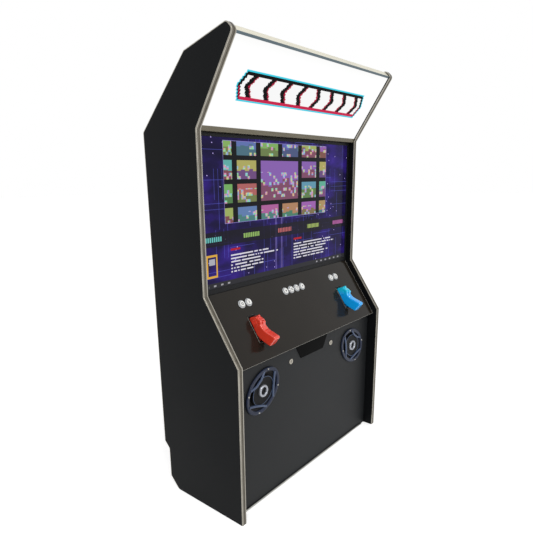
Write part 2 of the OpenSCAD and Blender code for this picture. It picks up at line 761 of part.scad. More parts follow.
// ---- Speakers ----
flange_t = 2.5;
grille_t = 9;
ring_t = 5.4;
motor_r = 42;
web_w = 6;
web_z = 2;
hex_r = 53;
hex_half = (hex_r - web_w / 2) / sqrt(3);  // half a bar, so that neighbours overlap at the corners
hub_r = 27;
hub_hole_r = 20;
opening_long = speaker_long - 2 * speaker_flange;
opening_short = speaker_short - 2 * speaker_flange;
// Hollow tapered oval from z = 0 back to -deep
module oval_cone(long, short, deep, end_scale, wall) {
    mirror([0, 0, 1]) difference() {
        linear_extrude(deep, scale = end_scale) polygon(oval(long, short, 32));
        translate([0, 0, -eps]) linear_extrude(deep + 2 * eps, scale = end_scale)
            polygon(oval(long - 2 * wall, short - 2 * wall, 32));
    }
}
module speaker_baskets() {
    color("#15161a") on_front() speaker_place() {
        difference() {
            linear_extrude(flange_t) polygon(oval(speaker_long, speaker_short));
            translate([0, 0, -1]) linear_extrude(flange_t + 2)
                polygon(oval(opening_long - 4, opening_short - 4));
            at_speaker_screws() translate([0, 0, -1]) cylinder(h = flange_t + 2, r = screw_r);
        }
        translate([0, 0, eps]) oval_cone(opening_long, opening_short, basket_depth, 0.62, 2.4);
        translate([0, 0, -basket_depth - 2]) cylinder(h = 3, r = motor_r + 6);
    }
}
module speaker_cones() {
    color("#0c0c0e") on_front() speaker_place() {
        translate([0, 0, flange_t - 1]) oval_cone(opening_long - 6, opening_short - 6, 34, 0.34, 1.6);
        translate([0, 0, -33]) cylinder(h = 3, r = 24);
    }
}
module speaker_motors() {
    color("#5b5d61") on_front() speaker_place()
        translate([0, 0, -basket_depth - 2 - 18]) {
            cylinder(h = 18, r = motor_r);
            translate([0, 0, -5]) cylinder(h = 5.5, r = motor_r - 14);
        }
}
module speaker_grilles() {
    long = speaker_long;
    short = speaker_short;
    color("#3a4154") on_front() speaker_place() translate([0, 0, flange_t]) {
        // Outer ring with the screw holes
        difference() {
            linear_extrude(ring_t) polygon(oval(long, short));
            translate([0, 0, -1]) linear_extrude(grille_t + 2)
                polygon(oval(long - 2 * speaker_flange, short - 2 * speaker_flange));
            at_speaker_screws() translate([0, 0, -1]) cylinder(h = grille_t + 2, r = screw_r);
        }
        // Six-sided web and the plain centre ring
        intersection() {
            linear_extrude(grille_t) polygon(oval(opening_long + 2, opening_short + 2));
            for (a = [0 : 60 : 300]) rotate(a) {
                translate([hub_hole_r, -web_w / 2, web_z]) cube([long, web_w, 4]);
                translate([hex_r - web_w, -hex_half, web_z]) cube([web_w, 2 * hex_half, 5]);
            }
        }
        translate([0, 0, web_z]) difference() {
            cylinder(h = grille_t - 1, r = hub_r);
            translate([0, 0, -1]) cylinder(h = grille_t + 2, r = hub_hole_r);
        }
    }
}
module speaker_screws() {
    color("#b8bcc4") on_front() speaker_place() at_speaker_screws() {
        translate([0, 0, -screw_len]) cylinder(h = screw_len + flange_t + ring_t, r = screw_r - 0.1);
        translate([0, 0, flange_t + ring_t]) cylinder(h = 1.8, r = screw_r + 1.6);
    }
}

// ---- Rear door ----
rear_lock_z = rear_door_top - 20;
module on_rear() { translate([0, front_y + rear_out, 0]) rotate([90, 0, 180]) children(); }
module rear_door() {
    color("#1b1b1c") {
        difference() {
            block([-half_in + 2, half_in - 2], [rear_in, rear_out], [rear_door_bottom, rear_door_top]);
            on_rear() translate([0, rear_lock_z, -board_t - 1])
                cylinder(h = board_t + 2, r = barrel_r + 0.1);
            rear_vents([-90, 90], rear_door_bottom + 120, 8);
        }
        mirrored_pair() rod(half_in - 30, half_in + 7, rear_pivot.x, rear_pivot.y, pivot_r);
    }
}
module rear_lock_barrel() { color("#c9c6bd") on_rear() translate([0, rear_lock_z, 0]) barrel(); }
module rear_lock_plug() { color("#b3afa5") on_rear() translate([0, rear_lock_z, 0]) plug(1); }

// ---- Power inlet ----
inlet_x = 380;
inlet_z = (shelf_z + board_t + sill_z) / 2;
inlet_w = 46;
inlet_h = 58;
rocker_z = inlet_z + 15;
rocker_tilt = 8;
module power_inlet() {
    color("#161617") difference() {
        union() {
            block([inlet_x - inlet_w / 2 - 4, inlet_x + inlet_w / 2 + 4],
                  [lower_rear_y, lower_rear_y + 2.5],
                  [inlet_z - inlet_h / 2 - 4, inlet_z + inlet_h / 2 + 4]);
            block([inlet_x - inlet_w / 2 + 0.3, inlet_x + inlet_w / 2 - 0.3],
                  [lower_rear_y - 30, lower_rear_y],
                  [inlet_z - inlet_h / 2 + 0.3, inlet_z + inlet_h / 2 - 0.3]);
        }
        block([inlet_x - 12.5, inlet_x + 12.5], [lower_rear_y - 18, lower_rear_y + 5],
              [inlet_z - 22, inlet_z - 4]);
        block([inlet_x - 14, inlet_x + 14], [lower_rear_y - 12, lower_rear_y + 5],
              [rocker_z - 10.5, rocker_z + 10.5]);
    }
    color("#c9c6bd") for (p = [[-7, -14.5], [0, -10.5], [7, -14.5]])
        block([inlet_x + p.x - 1, inlet_x + p.x + 1], [lower_rear_y - 19, lower_rear_y - 4],
              [inlet_z + p.y - 2, inlet_z + p.y + 2]);
    color("#161617") rod(inlet_x - 14.5, inlet_x + 14.5, lower_rear_y - 4, rocker_z, 1.5);
}
module power_rocker() {
    color("#b3241c") translate([inlet_x - 13.5, front_y + lower_rear_y - 4, rocker_z])
        rotate([rocker_tilt, 0, 0]) rotate([90, 0, 90]) difference() {
            linear_extrude(27) polygon([[-4, -5], [4, -9.3], [6.2, -9], [4.5, 0], [6.2, 9], [4, 9.3], [-4, 5]]);
            translate([0, 0, -1]) cylinder(h = 30, r = 1.5 + run_fit);
        }
}

// ---- Tilt castors ----
wheel_x = half_in - wheel_inset;
wheel_y = lower_back - wheel_r + 1;
wheel_z = wheel_r + 1.5;
module castor_brackets() {
    color("#7d8085") for (side = [-1, 1]) let (x = side * wheel_x) {
        block([x - wheel_w / 2 - 14, x + wheel_w / 2 + 14],
              [base_rear + 2, lower_rear_y], [shelf_z - 3, shelf_z]);
        for (e = [-1, 1]) let (ex = x + e * (wheel_w / 2 + 1.75))
            block([ex - 1.25, ex + 1.25], [wheel_y - 9, wheel_y + 9], [wheel_z - 8, shelf_z - 2]);
        rod(x - wheel_w / 2 - 5, x + wheel_w / 2 + 5, wheel_y, wheel_z, axle_r);
    }
}
module castor_wheel(side) {
    color("#3b3d40") difference() {
        union() {
            rod(side * wheel_x - wheel_w / 2, side * wheel_x + wheel_w / 2, wheel_y, wheel_z, wheel_r - 1);
            rod(side * wheel_x - wheel_w / 2 + 2, side * wheel_x + wheel_w / 2 - 2, wheel_y, wheel_z, wheel_r);
        }
        rod(side * wheel_x - wheel_w, side * wheel_x + wheel_w, wheel_y, wheel_z, axle_r + run_fit);
    }
}
module left_castor_wheel() { castor_wheel(-1); }
module right_castor_wheel() { castor_wheel(1); }

// ---- Electronics on the base board ----
riser_y = base_rear - board_t;
case_rear = riser_y - 19;
case_x = [-330, -30];
case_y = [case_rear - 190, case_rear];
case_h = 95;
amp_rear = riser_y - 29;
amp_x = [150, 330];
amp_y = [amp_rear - 110, amp_rear];
amp_h = 46;
fin_pitch = 20;
module computer_case() {
    color("#2a2c30") difference() {
        block(case_x, case_y, [board_t, board_t + case_h]);
        // Vents in its front
        for (x = [case_x[0] + 30 : fin_pitch : case_x[1] - 30])
            block([x, x + 8], [case_y[0] - 1, case_y[0] + 6], [board_t + 20, board_t + case_h - 20]);
    }
}
module amplifier() {
    color("#44474c") {
        block(amp_x, amp_y, [board_t, board_t + amp_h]);
        // Cooling fins
        for (x = [amp_x[0] + 6 : fin_pitch : amp_x[1] - 6])
            block([x, x + 4], amp_y + [5, -5], [board_t + amp_h - 1, board_t + amp_h + 10]);
    }
}

left_side_panel();
right_side_panel();
left_edge_trim();
right_edge_trim();
base_board();
lower_rear_panel();
upper_rear_panel();
rear_slope_panel();
top_board();
wood_battens();
marquee_panel();
marquee_retainers();
marquee_light_board();
marquee_led_strips();
screen_panel();
screen_bezel();
screen_rear_case();
screen_bracket();
control_board();
control_overlay();
button_housings();
button_nuts();
button_switches();
button_plunger(0);  // button_1
button_plunger(1);  // button_2
button_plunger(2);  // button_3
button_plunger(3);  // button_4
button_plunger(4);  // button_5
button_plunger(5);  // button_6
button_plunger(6);  // button_7
button_plunger(7);  // button_8
left_holster();
right_holster();
left_gun();
left_trigger();
right_gun();
right_trigger();
front_panel();
front_hinge_fixed_leaf();
front_hinge_door_leaf();
name_plate();
lock_barrels();
left_lock_plug();
right_lock_plug();
speaker_grilles();
speaker_baskets();
speaker_cones();
speaker_motors();
speaker_screws();
rear_door();
rear_lock_barrel();
rear_lock_plug();
power_inlet();
power_rocker();
castor_brackets();
left_castor_wheel();
right_castor_wheel();
computer_case();
amplifier();
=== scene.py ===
# %% [markdown]
# # Dressing an arcade cabinet
# The frame is the cabinet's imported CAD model: every board, panel, button and lock is in it at its
# real size. Nothing in it is moved here. Each lesson takes one piece or one finish, says what it is
# on the real cabinet, and either gives the CAD node a better material or builds a finer piece that
# replaces the node and rides on the same body.

# %% Load the frame
import math

import bmesh
import bpy
from mathutils import Matrix, Vector


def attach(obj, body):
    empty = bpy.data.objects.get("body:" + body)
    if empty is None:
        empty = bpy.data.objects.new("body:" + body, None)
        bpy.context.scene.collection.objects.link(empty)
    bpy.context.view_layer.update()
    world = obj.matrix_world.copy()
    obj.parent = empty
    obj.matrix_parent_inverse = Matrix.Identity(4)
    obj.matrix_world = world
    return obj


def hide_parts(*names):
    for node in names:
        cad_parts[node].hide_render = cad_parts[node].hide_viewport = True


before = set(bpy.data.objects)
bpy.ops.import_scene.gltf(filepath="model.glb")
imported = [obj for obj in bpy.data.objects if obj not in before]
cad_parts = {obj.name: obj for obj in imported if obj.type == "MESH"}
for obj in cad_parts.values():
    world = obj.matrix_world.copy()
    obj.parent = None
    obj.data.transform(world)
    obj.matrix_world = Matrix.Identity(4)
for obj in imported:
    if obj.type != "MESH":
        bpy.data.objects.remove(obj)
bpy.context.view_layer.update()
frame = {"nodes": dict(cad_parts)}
nodes = frame["nodes"]

# %% [markdown]
# ## Places
# A maker works from marks on the boards, so the script names the same marks once: the front edge of
# the side panels, the sloped deck with its two gun stations, and the face of the front panel. A
# matrix for each turns a drawing in millimetres into its place on the cabinet in metres.

# %% Name the marks
MM = 0.001
FRONT_EDGE = -0.2175
DECK_ANGLE = math.radians(55.8)
DECK_MARK = Vector((0, FRONT_EDGE, 0.580302))
DECK_START = 35.315
BUTTON_ROW = DECK_START + 225
STATION = 307
PITCH = 38.5
PANEL_FACE = -0.1695
SPEAKER_OUT = 328
SPEAKER_UP = 472
SPEAKERS = {"left": (-SPEAKER_OUT, SPEAKER_UP, 34), "right": (SPEAKER_OUT, SPEAKER_UP, 146)}
LOCK_OUT = 147
LOCK_UP = 534

in_mm = Matrix.Scale(MM, 4)
on_deck = Matrix.Translation(DECK_MARK) @ Matrix.Rotation(DECK_ANGLE, 4, "X") @ in_mm
on_panel = Matrix.Translation((0, PANEL_FACE, 0)) @ Matrix.Rotation(math.pi / 2, 4, "X") @ in_mm


def at(base, x, y, turn=0, z=0):
    """The base's matrix, shifted by millimetres and turned by degrees round its own Z."""
    return base @ Matrix.Translation((x, y, z)) @ Matrix.Rotation(math.radians(turn), 4, "Z")


def up_deck(y, z):
    """How far up the deck's slope a point lies, in metres from the deck's mark."""
    return (y - DECK_MARK.y) * math.cos(DECK_ANGLE) + (z - DECK_MARK.z) * math.sin(DECK_ANGLE)


print("deck mark", tuple(round(c, 4) for c in DECK_MARK), "panel face y", PANEL_FACE)

# %% [markdown]
# ## The camera
# The photograph was taken from the cabinet's left, a little above the deck, with the camera turned
# down. Its place, turn and focal length were solved from the side panel's outline, so they are set
# as plain numbers. The lens shift stands for the crop of the photograph's frame.

# %% Set up the camera
camera_data = bpy.data.cameras.new("photo_camera")
camera_data.sensor_width = 36
camera_data.lens = 33.177
camera_data.shift_x = -0.00415
camera_data.shift_y = 0.0675
camera_data.clip_end = 100
camera = bpy.data.objects.new("photo_camera", camera_data)
bpy.context.scene.collection.objects.link(camera)
bpy.context.scene.camera = camera

yaw = math.radians(50.0457)
pitch = math.radians(-14.6305)
roll = math.radians(-0.6307)
ahead = Vector((math.sin(yaw) * math.cos(pitch), math.cos(yaw) * math.cos(pitch), math.sin(pitch)))
level = Vector((math.cos(yaw), -math.sin(yaw), 0))
above = level.cross(ahead)
right = math.cos(roll) * level + math.sin(roll) * above
up = -math.sin(roll) * level + math.cos(roll) * above
axes = Matrix((right, up, -ahead)).transposed()
camera.matrix_world = Matrix.Translation((-1.6341, -1.3006, 1.2693)) @ axes.to_4x4()
print("camera looks", tuple(round(c, 3) for c in ahead))

# %% [markdown]
# ## Values that do arithmetic
# A shader is a small program. Written with nodes alone, a stripe takes a page, so one class wraps a
# socket and lets Python's own signs add the Math nodes. Every other node comes from one method that
# takes its kind, its settings and what goes into its sockets.


# %% Wrap a socket
class Value:
    """One output of a shader node. Arithmetic on it adds Math nodes."""

    def __init__(self, nodes, socket):
        self.nodes = nodes
        self.socket = socket

    def maths(self, operation, *others, first=None):
        terms = [self, *others] if first is None else [first, self, *others]
        return self.nodes.node("Math", {"operation": operation}, dict(enumerate(terms)))

    def __add__(self, other):
        return self.maths("ADD", other)

    def __sub__(self, other):
        return self.maths("SUBTRACT", other)

    def __rsub__(self, other):
        return self.maths("SUBTRACT", first=other)

    def __mul__(self, other):
        return self.maths("MULTIPLY", other)

    def __truediv__(self, other):
        return self.maths("DIVIDE", other)

    def __gt__(self, other):
        return self.maths("GREATER_THAN", other)

    def __lt__(self, other):
        return self.maths("LESS_THAN", other)

    def __abs__(self):
        return self.maths("ABSOLUTE")

    def __floor__(self):
        return self.maths("FLOOR")

    __radd__ = __add__
    __rmul__ = __mul__

    def part(self):
        """What is left over the whole number below."""
        return self.maths("FRACT")

    def hypot(self, other):
        """The distance to a point this far off one way and other the other way."""
        return (self * self + other * other).maths("SQRT")

    def within(self, low, high):
        """1 between the two numbers, 0 outside."""
        return (self > low) * (self < high)

    def fade(self, start, end):
        """0 at start to 1 at end, smooth between."""
        settings = {"interpolation_type": "SMOOTHSTEP"}
        return self.nodes.node("MapRange", settings, {0: self, 1: start, 2: end})


# %% [markdown]
# The one method that makes any node sits in a small class, so that the world can use it as well. The
# material is a class on top of that. It keeps the Principled shader at hand, sets what is the same
# all over the surface straight on its sockets, and offers the few things that every finish needs:
# coordinates in metres, noise, a mix of two colours and a bump.


# %% Build a finish
def paint(code):
    """A colour written as #rrggbb, as the linear numbers that a shader takes."""
    parts = [int(code[i : i + 2], 16) / 255 for i in (1, 3, 5)]
    return (*[c / 12.92 if c <= 0.04045 else ((c + 0.055) / 1.055) ** 2.4 for c in parts], 1)


class Nodes:
    """The nodes of a material or of the world."""

    def __init__(self, tree):
        self.tree = tree

    def feed(self, socket, value):
        if isinstance(value, Value):
            self.tree.links.new(value.socket, socket)
        else:
            socket.default_value = value

    def node(self, kind, settings=(), sockets=(), out=0):
        """Any node: its kind, its settings, what goes into its sockets, and the output used."""
        made = self.tree.nodes.new("ShaderNode" + kind)
        for name, value in dict(settings).items():
            if name == "stops":
                ramp = made.color_ramp.elements
                ramp[0].position, ramp[0].color = value[0]
                ramp[1].position, ramp[1].color = value[-1]
                for place, colour in value[1:-1]:
                    ramp.new(place).color = colour
            else:
                setattr(made, name, value)
        for key, value in dict(sockets).items():
            self.feed(made.inputs[key], value)
        return Value(self, made.outputs[out])


class Finish(Nodes):
    """A material on the way: its shader, and the nodes that feed it."""

    def __init__(self, name, **fixed):
        self.material = bpy.data.materials.new(name)
        self.material.use_nodes = True
        super().__init__(self.material.node_tree)
        self.shader = self.tree.nodes["Principled BSDF"]
        self.vary(**fixed)

    def vary(self, **fed):
        """Sets what is the same all over on the shader's sockets, and links what changes."""
        for name, value in fed.items():
            self.feed(self.shader.inputs[name.replace("_", " ")], value)

    def place(self):
        """The point on the surface, in metres in the cabinet's own frame."""
        return self.node("TexCoord", out="Object")

    def xyz(self, point=None):
        point = point or self.place()
        first = self.node("SeparateXYZ", (), {0: point})
        return [Value(self, first.socket.node.outputs[i]) for i in range(3)]

    def point(self, *terms):
        return self.node("CombineXYZ", (), dict(enumerate(terms)))

    def noise(self, scale, detail=2, stretch=(1, 1, 1), point=None, out="Fac"):
        """Soft noise; scale is in waves a metre, stretch makes it finer along an axis."""
        moved = self.node("Mapping", (), {"Vector": point or self.place(), "Scale": stretch})
        return self.node("TexNoise", (), {"Vector": moved, "Scale": scale, "Detail": detail}, out)

    def chance(self, point, out=0):
        """A fixed random number from 0 to 1 for each point."""
        return self.node("TexWhiteNoise", {"noise_dimensions": "3D"}, {"Vector": point}, out)

    def mix(self, a, b, mask, way="MIX"):
        settings = {"data_type": "RGBA", "blend_type": way, "clamp_factor": True}
        return self.node("Mix", settings, {0: mask, 6: a, 7: b}, 2)

    def bump(self, height, depth, strength=1.0):
        """Normals from a height of 0 to 1 that stands for depth metres."""
        sockets = {"Height": height, "Distance": depth, "Strength": strength}
        self.vary(Normal=self.node("Bump", (), sockets))


print("black paint is", [round(c, 4) for c in paint("#17181a")])

# %% [markdown]
# ## The laminate and the painted boards
# The side panels are faced with a matte black laminate that has a fine pebble, so that hands leave
# no marks. A noise of more than one wave a millimetre makes the pebble, and a slow noise makes the
# roughness and the colour wander, as they do over a big panel. The boards behind are painted
# with a roller, which leaves a coarser, softer stipple.


# %% Make the board finishes
def board_finish(name, low, high, pebble, depth, **fixed):
    """A dark board: colour wanders from low to high, with a pebble of so many waves a metre."""
    made = Finish(name, **fixed)
    slow = made.noise(3.1, 3)
    fine = made.noise(pebble, 2)
    made.vary(Base_Color=made.mix(paint(low), paint(high), slow * 0.6 + fine * 0.4))
    made.vary(Roughness=0.44 + 0.12 * slow + 0.08 * fine)
    made.bump(fine, depth)
    return made.material


side_laminate = board_finish("side_laminate", "#060708", "#0f1113", 1500, 0.00012, IOR=1.18)
front_laminate = board_finish("front_laminate", "#111213", "#1c1e20", 1300, 0.0001, IOR=1.28)
painted_board = board_finish("painted_board", "#0f0f10", "#1b1b1d", 420, 0.0003,
                             Specular_IOR_Level=0.3)
print("boards:", side_laminate.name, front_laminate.name, painted_board.name)

# %% [markdown]
# ## Raw wood inside
# The battens that join the boards are sawn softwood. Its grain is noise stretched along the piece,
# pushed through a ramp from pale early wood to darker late wood. Most battens run across the
# cabinet, so the grain runs along X. The sill and the riser over the castors show from behind, so
# they are painted like the boards round them: the distance back and the height find them.

# %% Make the wood
wood = Finish("sawn_softwood", Roughness=0.72, Specular_IOR_Level=0.3)
grain = wood.noise(26, 6, (0.6, 9, 9))
fibre = wood.noise(240, 3, (0.12, 1, 1))
ramp = {"stops": [(0.32, paint("#7c5a38")), (0.5, paint("#a98457")), (0.68, paint("#c4a173"))]}
rings = wood.node("ValToRGB", ramp, {0: grain})
RISER_FACE = 0.139
SILL_TOP = 0.22
x, y, z = wood.xyz()
painted = (y > RISER_FACE) * (z < SILL_TOP)
bare = wood.mix(rings, paint("#8b6a47"), fibre * 0.5)
wood.vary(Base_Color=wood.mix(bare, paint("#151516"), painted))
wood.bump(fibre * 0.7 + grain * 0.3, 0.0004)
print("wood ramp has", len(ramp["stops"]), "stops")

# %% [markdown]
# ## Metals
# Each metal is the Principled shader with Metallic at 1. What tells them apart is the colour, the
# roughness and how fine the scratches are: the locks are nickel plated and their plugs are worn by
# keys, hinges and brackets are zinc plated steel with a blotchy, slightly yellow bloom, and the
# cases inside are powder coated.


# %% Make the metals
def metal_finish(name, dark, bright, rough, waves):
    """A metal from dark to bright, with scratches of so many waves a metre."""
    made = Finish(name, Metallic=1.0)
    bloom = made.noise(14, 3)
    scratch = made.noise(waves, 3)
    made.vary(Base_Color=made.mix(paint(dark), paint(bright), bloom * 0.5 + scratch * 0.5))
    made.vary(Roughness=rough + 0.14 * scratch + 0.06 * bloom)
    made.bump(scratch, 0.00004)
    return made.material


nickel = metal_finish("nickel_plate", "#857f75", "#b9b4a9", 0.16, 500)
worn_nickel = metal_finish("worn_nickel", "#6d6963", "#9d988e", 0.24, 700)
zinc = metal_finish("zinc_steel", "#878787", "#b9b8b0", 0.3, 260)
dark_steel = metal_finish("powder_coated_steel", "#15161a", "#23252a", 0.42, 900)
magnet_steel = metal_finish("magnet_steel", "#4a4c50", "#74767a", 0.34, 340)
print("metals:", nickel.name, worn_nickel.name, zinc.name, dark_steel.name, magnet_steel.name)

# %% [markdown]
# The edge trim is pressed on along the side panels' edges. Its two rims are bright, and the groove
# between them is painted darker, as painted shade in the groove. The distance from the middle of the
# panel's thickness picks the colour.

# %% Make the edge trim
PANEL_MIDDLE = 0.495
HOLLOW = 0.0055
RIM = 0.0088
trim = Finish("bright_trim", Metallic=1.0)
x, y, z = trim.xyz()
rim = abs(abs(x) - PANEL_MIDDLE).fade(HOLLOW, RIM)
drawn = trim.noise(160, 3, (1, 0.4, 0.12))
# The groove's darker colour is painted shade.
hollow_shade = trim.mix(paint("#4d4941"), paint("#7c776d"), drawn)
bright = trim.mix(paint("#8c887e"), paint("#c3bfb5"), drawn)
trim.vary(Base_Color=trim.mix(hollow_shade, bright, rim))
trim.vary(Roughness=0.2 + 0.14 * drawn)
trim.bump(drawn, 0.00004)
print("trim is dull within", HOLLOW, "m of the middle of the panel and bright beyond", RIM, "m")

# %% [markdown]
# The marquee's retainers are one anodised strip each, with light and shade painted on it: a painted
# highlight on the pale nose above the lit sheet, painted shade where its lip lies over the sheet, and
# a dark bronze underneath the sheet, painted shade on the side that faces down at the display. One
# material serves all three. The height on the cabinet and the distance down the sloping marquee
# pick the colour.

# %% Make the retainer's finish
MARQUEE_ANGLE = math.radians(56.6)
MARQUEE_HEAD = Vector((0, -0.2324, 1.6751))
NOSE_LIP = 0.0045
LOWER_STRIP_TOP = 1.5


def down_marquee(y, z):
    """How far down the marquee's face a point lies, in metres from its head."""
    back = (y - MARQUEE_HEAD.y) * math.cos(MARQUEE_ANGLE)
    return back - (z - MARQUEE_HEAD.z) * math.sin(MARQUEE_ANGLE)


retainer = Finish("anodised_strip", Metallic=0.6)
x, y, z = retainer.xyz()
brushed = retainer.noise(420, 3, (0.02, 1, 1))
# The bronze underneath and the dark lip are painted shade, and the pale nose is a painted highlight.
underside_shade = retainer.mix(paint("#4c4739"), paint("#7a7463"), brushed)
nose_highlight = retainer.mix(paint("#b7b3a2"), paint("#f4f0dd"), brushed)
lip = retainer.mix(paint("#46535a"), paint("#66757c"), brushed)
upper = retainer.mix(nose_highlight, lip, down_marquee(y, z) > NOSE_LIP)
retainer.vary(Base_Color=retainer.mix(underside_shade, upper, z > LOWER_STRIP_TOP))
retainer.vary(Roughness=0.34 + 0.16 * brushed)
retainer.bump(brushed, 0.00005)
print("retainer is bronze below", LOWER_STRIP_TOP, "m, and dark", NOSE_LIP, "m down the marquee")

# %% [markdown]
# ## Plastics
# Moulded plastic is one colour through and through. Its life is in the skin: a spark-eroded grain
# on housings, a glossy skin on toy guns and buttons, and a slow change of roughness from handling.


# %% Make the plastics
def plastic_finish(name, dark, bright, rough, grain_waves, depth, **fixed):
    made = Finish(name, **fixed)
    slow = made.noise(22, 3)
    skin = made.noise(grain_waves, 2)
    made.vary(Base_Color=made.mix(paint(dark), paint(bright), slow))
    made.vary(Roughness=rough + 0.1 * slow + 0.06 * skin)
    made.bump(skin, depth)
    return made.material


black_plastic = plastic_finish("black_plastic", "#0b0c0d", "#16171a", 0.4, 900, 0.00012, IOR=1.25)
red_plastic = plastic_finish("red_plastic", "#d4321e", "#e8452e", 0.08, 500, 0.00002, Coat_Weight=0.7,
                             Coat_Roughness=0.03)
red_shade = plastic_finish("red_trigger", "#9c1a10", "#b82a1c", 0.2, 500, 0.00003, Coat_Weight=0.4)
blue_shade = plastic_finish("blue_trigger", "#0a6fc0", "#0d84d4", 0.2, 500, 0.00003, Coat_Weight=0.4)
white_plastic = plastic_finish("white_plastic", "#e2e2de", "#f2f2ee", 0.22, 500, 0.00002,
                               Coat_Weight=0.4)
clear_plastic = plastic_finish("clear_ring", "#9a9da0", "#bfc2c4", 0.12, 500, 0.00002,
                               Coat_Weight=0.6)
grille_plastic = plastic_finish("grille_plastic", "#131a2b", "#222b43", 0.22, 700, 0.00006, IOR=1.3)
dish_plastic = plastic_finish("dish_plastic", "#050607", "#0e0f12", 0.4, 260, 0.0002, IOR=1.2)
switch_plastic = plastic_finish("switch_plastic", "#26292e", "#3b3f46", 0.42, 700, 0.0001)
led_board = plastic_finish("white_board", "#d9d9d3", "#ececE6", 0.5, 500, 0.0002)
rocker_red = plastic_finish("rocker_red", "#96150e", "#b8241a", 0.25, 500, 0.00003)
rubber = plastic_finish("grey_rubber", "#232426", "#36383b", 0.66, 420, 0.0003)
print("plastics made, from", black_plastic.name, "to", rubber.name)

# %% [markdown]
# The blue gun isn't one blue: its slide is a greener cyan and its grip a deeper blue. The cyan is
# painted light, lighter and greener where light falls on the gun's upper part. The height on the
# cabinet fades one colour into the other.

# %% Make the tinted blue
DEEPEST = 0.715
PALEST = 0.752
tinted = Finish("blue_plastic", Coat_Weight=0.3, Coat_Roughness=0.03)
x, y, z = tinted.xyz()
slow = tinted.noise(22, 3)
skin = tinted.noise(500, 2)
# thick is the grip's blue and thin the slide's cyan, which is painted light on the gun's top.
thick = tinted.mix(paint("#009cf0"), paint("#0aacf8"), slow)
thin = tinted.mix(paint("#00bcd8"), paint("#10d0ec"), slow)
tinted.vary(Base_Color=tinted.mix(thick, thin, z.fade(DEEPEST, PALEST)))
tinted.vary(Roughness=0.08 + 0.1 * slow + 0.06 * skin)
tinted.bump(skin, 0.00002)
blue_plastic = tinted.material
print("blue turns to cyan between", DEEPEST, "and", PALEST, "m")

# %% [markdown]
# ## The deck's overlay
# The deck is covered with black acrylic, polished so that the guns mirror in it. Its sawn edges
# are lighter than its face, and their pale grey is also a painted highlight, the thin line of light
# that they catch. The slope's own coordinate, from the deck's angle, finds those edges.

# %% Make the acrylic
EDGE_FOOT = 0.0302
EDGE_SIDE = 0.4738
acrylic = Finish("black_acrylic", IOR=1.49, Specular_IOR_Level=0.2)
x, y, z = acrylic.xyz()
cut_edge_and_highlight = (up_deck(y, z) < EDGE_FOOT) + (abs(x) > EDGE_SIDE)
haze = acrylic.noise(5, 4)
swirl = acrylic.noise(900, 2, (0.1, 1, 1))
face = acrylic.mix(paint("#171410"), paint("#24201b"), haze)
# The cut edges' pale grey is partly their own colour and partly a painted highlight.
acrylic.vary(Base_Color=acrylic.mix(face, paint("#8f8c86"), cut_edge_and_highlight))
acrylic.vary(Roughness=0.08 + 0.08 * haze + 0.03 * swirl)
acrylic.bump(swirl, 0.00001)
badge = plastic_finish("badge_acrylic", "#030303", "#060606", 0.16, 400, 0.00001, IOR=1.08)
print("overlay's lower cut edge lies below", EDGE_FOOT, "m up the slope")

# %% [markdown]
# ## The lit marquee
# An opal sheet with light behind it is close to pure white from edge to edge. Its print here is
# plain geometry in a few flat colours: a row of broad chevrons that point outwards from the middle,
# drawn on a coarse grid of squares, on a black plate with a crimson foot and a cyan rim. The ink
# lets only its own colour of the light through, so the print is in the light, and the sheet itself
# is almost black to the room.

# %% Make the marquee's print
marquee = Finish("lit_marquee", Base_Color=(0.004, 0.004, 0.004, 1), Roughness=0.3, IOR=1.08,
                 Emission_Strength=1.0)
x, y, z = marquee.xyz()
drop = down_marquee(y, z)
SQUARE = 0.0055
PRINT_DROP = 0.1595
PRINT_HALF = 0.376
CHEVRON = 0.094
HALF_TALL = 0.036
PRINT_EDGE = 0.0175
across = math.floor(abs(x) / SQUARE) * SQUARE
rise = math.floor((PRINT_DROP - drop) / SQUARE) * SQUARE
step = ((across + 0.7 * abs(rise)) / CHEVRON + 0.2).part()


def plate_of(grow, shift=0.0):
    """A plate with cut ends round the print's middle, larger than the chevrons by so much."""
    tall = abs(rise - shift)
    return (tall < HALF_TALL + grow) * (across + 0.5 * tall < PRINT_HALF + grow)


inner = plate_of(0.0)
print_layers = [
    (plate_of(PRINT_EDGE), "#3fd0e6"), (plate_of(0.0125), "#050506"),
    (plate_of(0.004, -SQUARE), "#c81e4a"), (plate_of(0.001), "#050506"),
    (inner * step.within(0.7, 0.77), "#b01c40"), (inner * (step < 0.7), "#f7f7f7"),
]
# The sheet is a touch grey at its top, fading to white over 5 cm: painted shade.
sheet_colour = marquee.mix(paint("#f9f9f8"), paint("#ffffff"), drop.fade(0.0, 0.05))
for mask, colour in print_layers:
    sheet_colour = marquee.mix(sheet_colour, paint(colour), mask)
marquee.vary(Emission_Color=sheet_colour)
print("marquee print is", round(2 * (PRINT_HALF + PRINT_EDGE), 3), "m wide")

# %% [markdown]
# ## The display
# The display shows a menu: a dark violet ground with faint circuit lines, a framed panel of little
# scenes, a band of coloured pills and rows of light bars where a menu would have words. All of it
# is made of squares, stripes and fixed random numbers from the point on the glass. The shader
# takes the picture as light that the panel gives off. The glass over it is coated against glare, so
# its index of refraction is low and the white room doesn't wash the picture out.

# %% Lay out the picture
display = Finish("display_glass", Base_Color=(0.004, 0.004, 0.005, 1), Roughness=0.12, IOR=1.15,
                 Emission_Strength=1.0)
GLASS_HALF = 0.470
GLASS_TOP = 1.3955
GLASS_TALL = 0.528
ACROSS = 46
DOWN = 26
x, y, z = display.xyz()
u = (x + GLASS_HALF) / (2 * GLASS_HALF)
v = (GLASS_TOP - z) / GLASS_TALL


def box_of(left, top, right_side, bottom):
    """1 inside a rectangle of the picture, in shares of its width and height."""
    return u.within(left, right_side) * v.within(top, bottom)


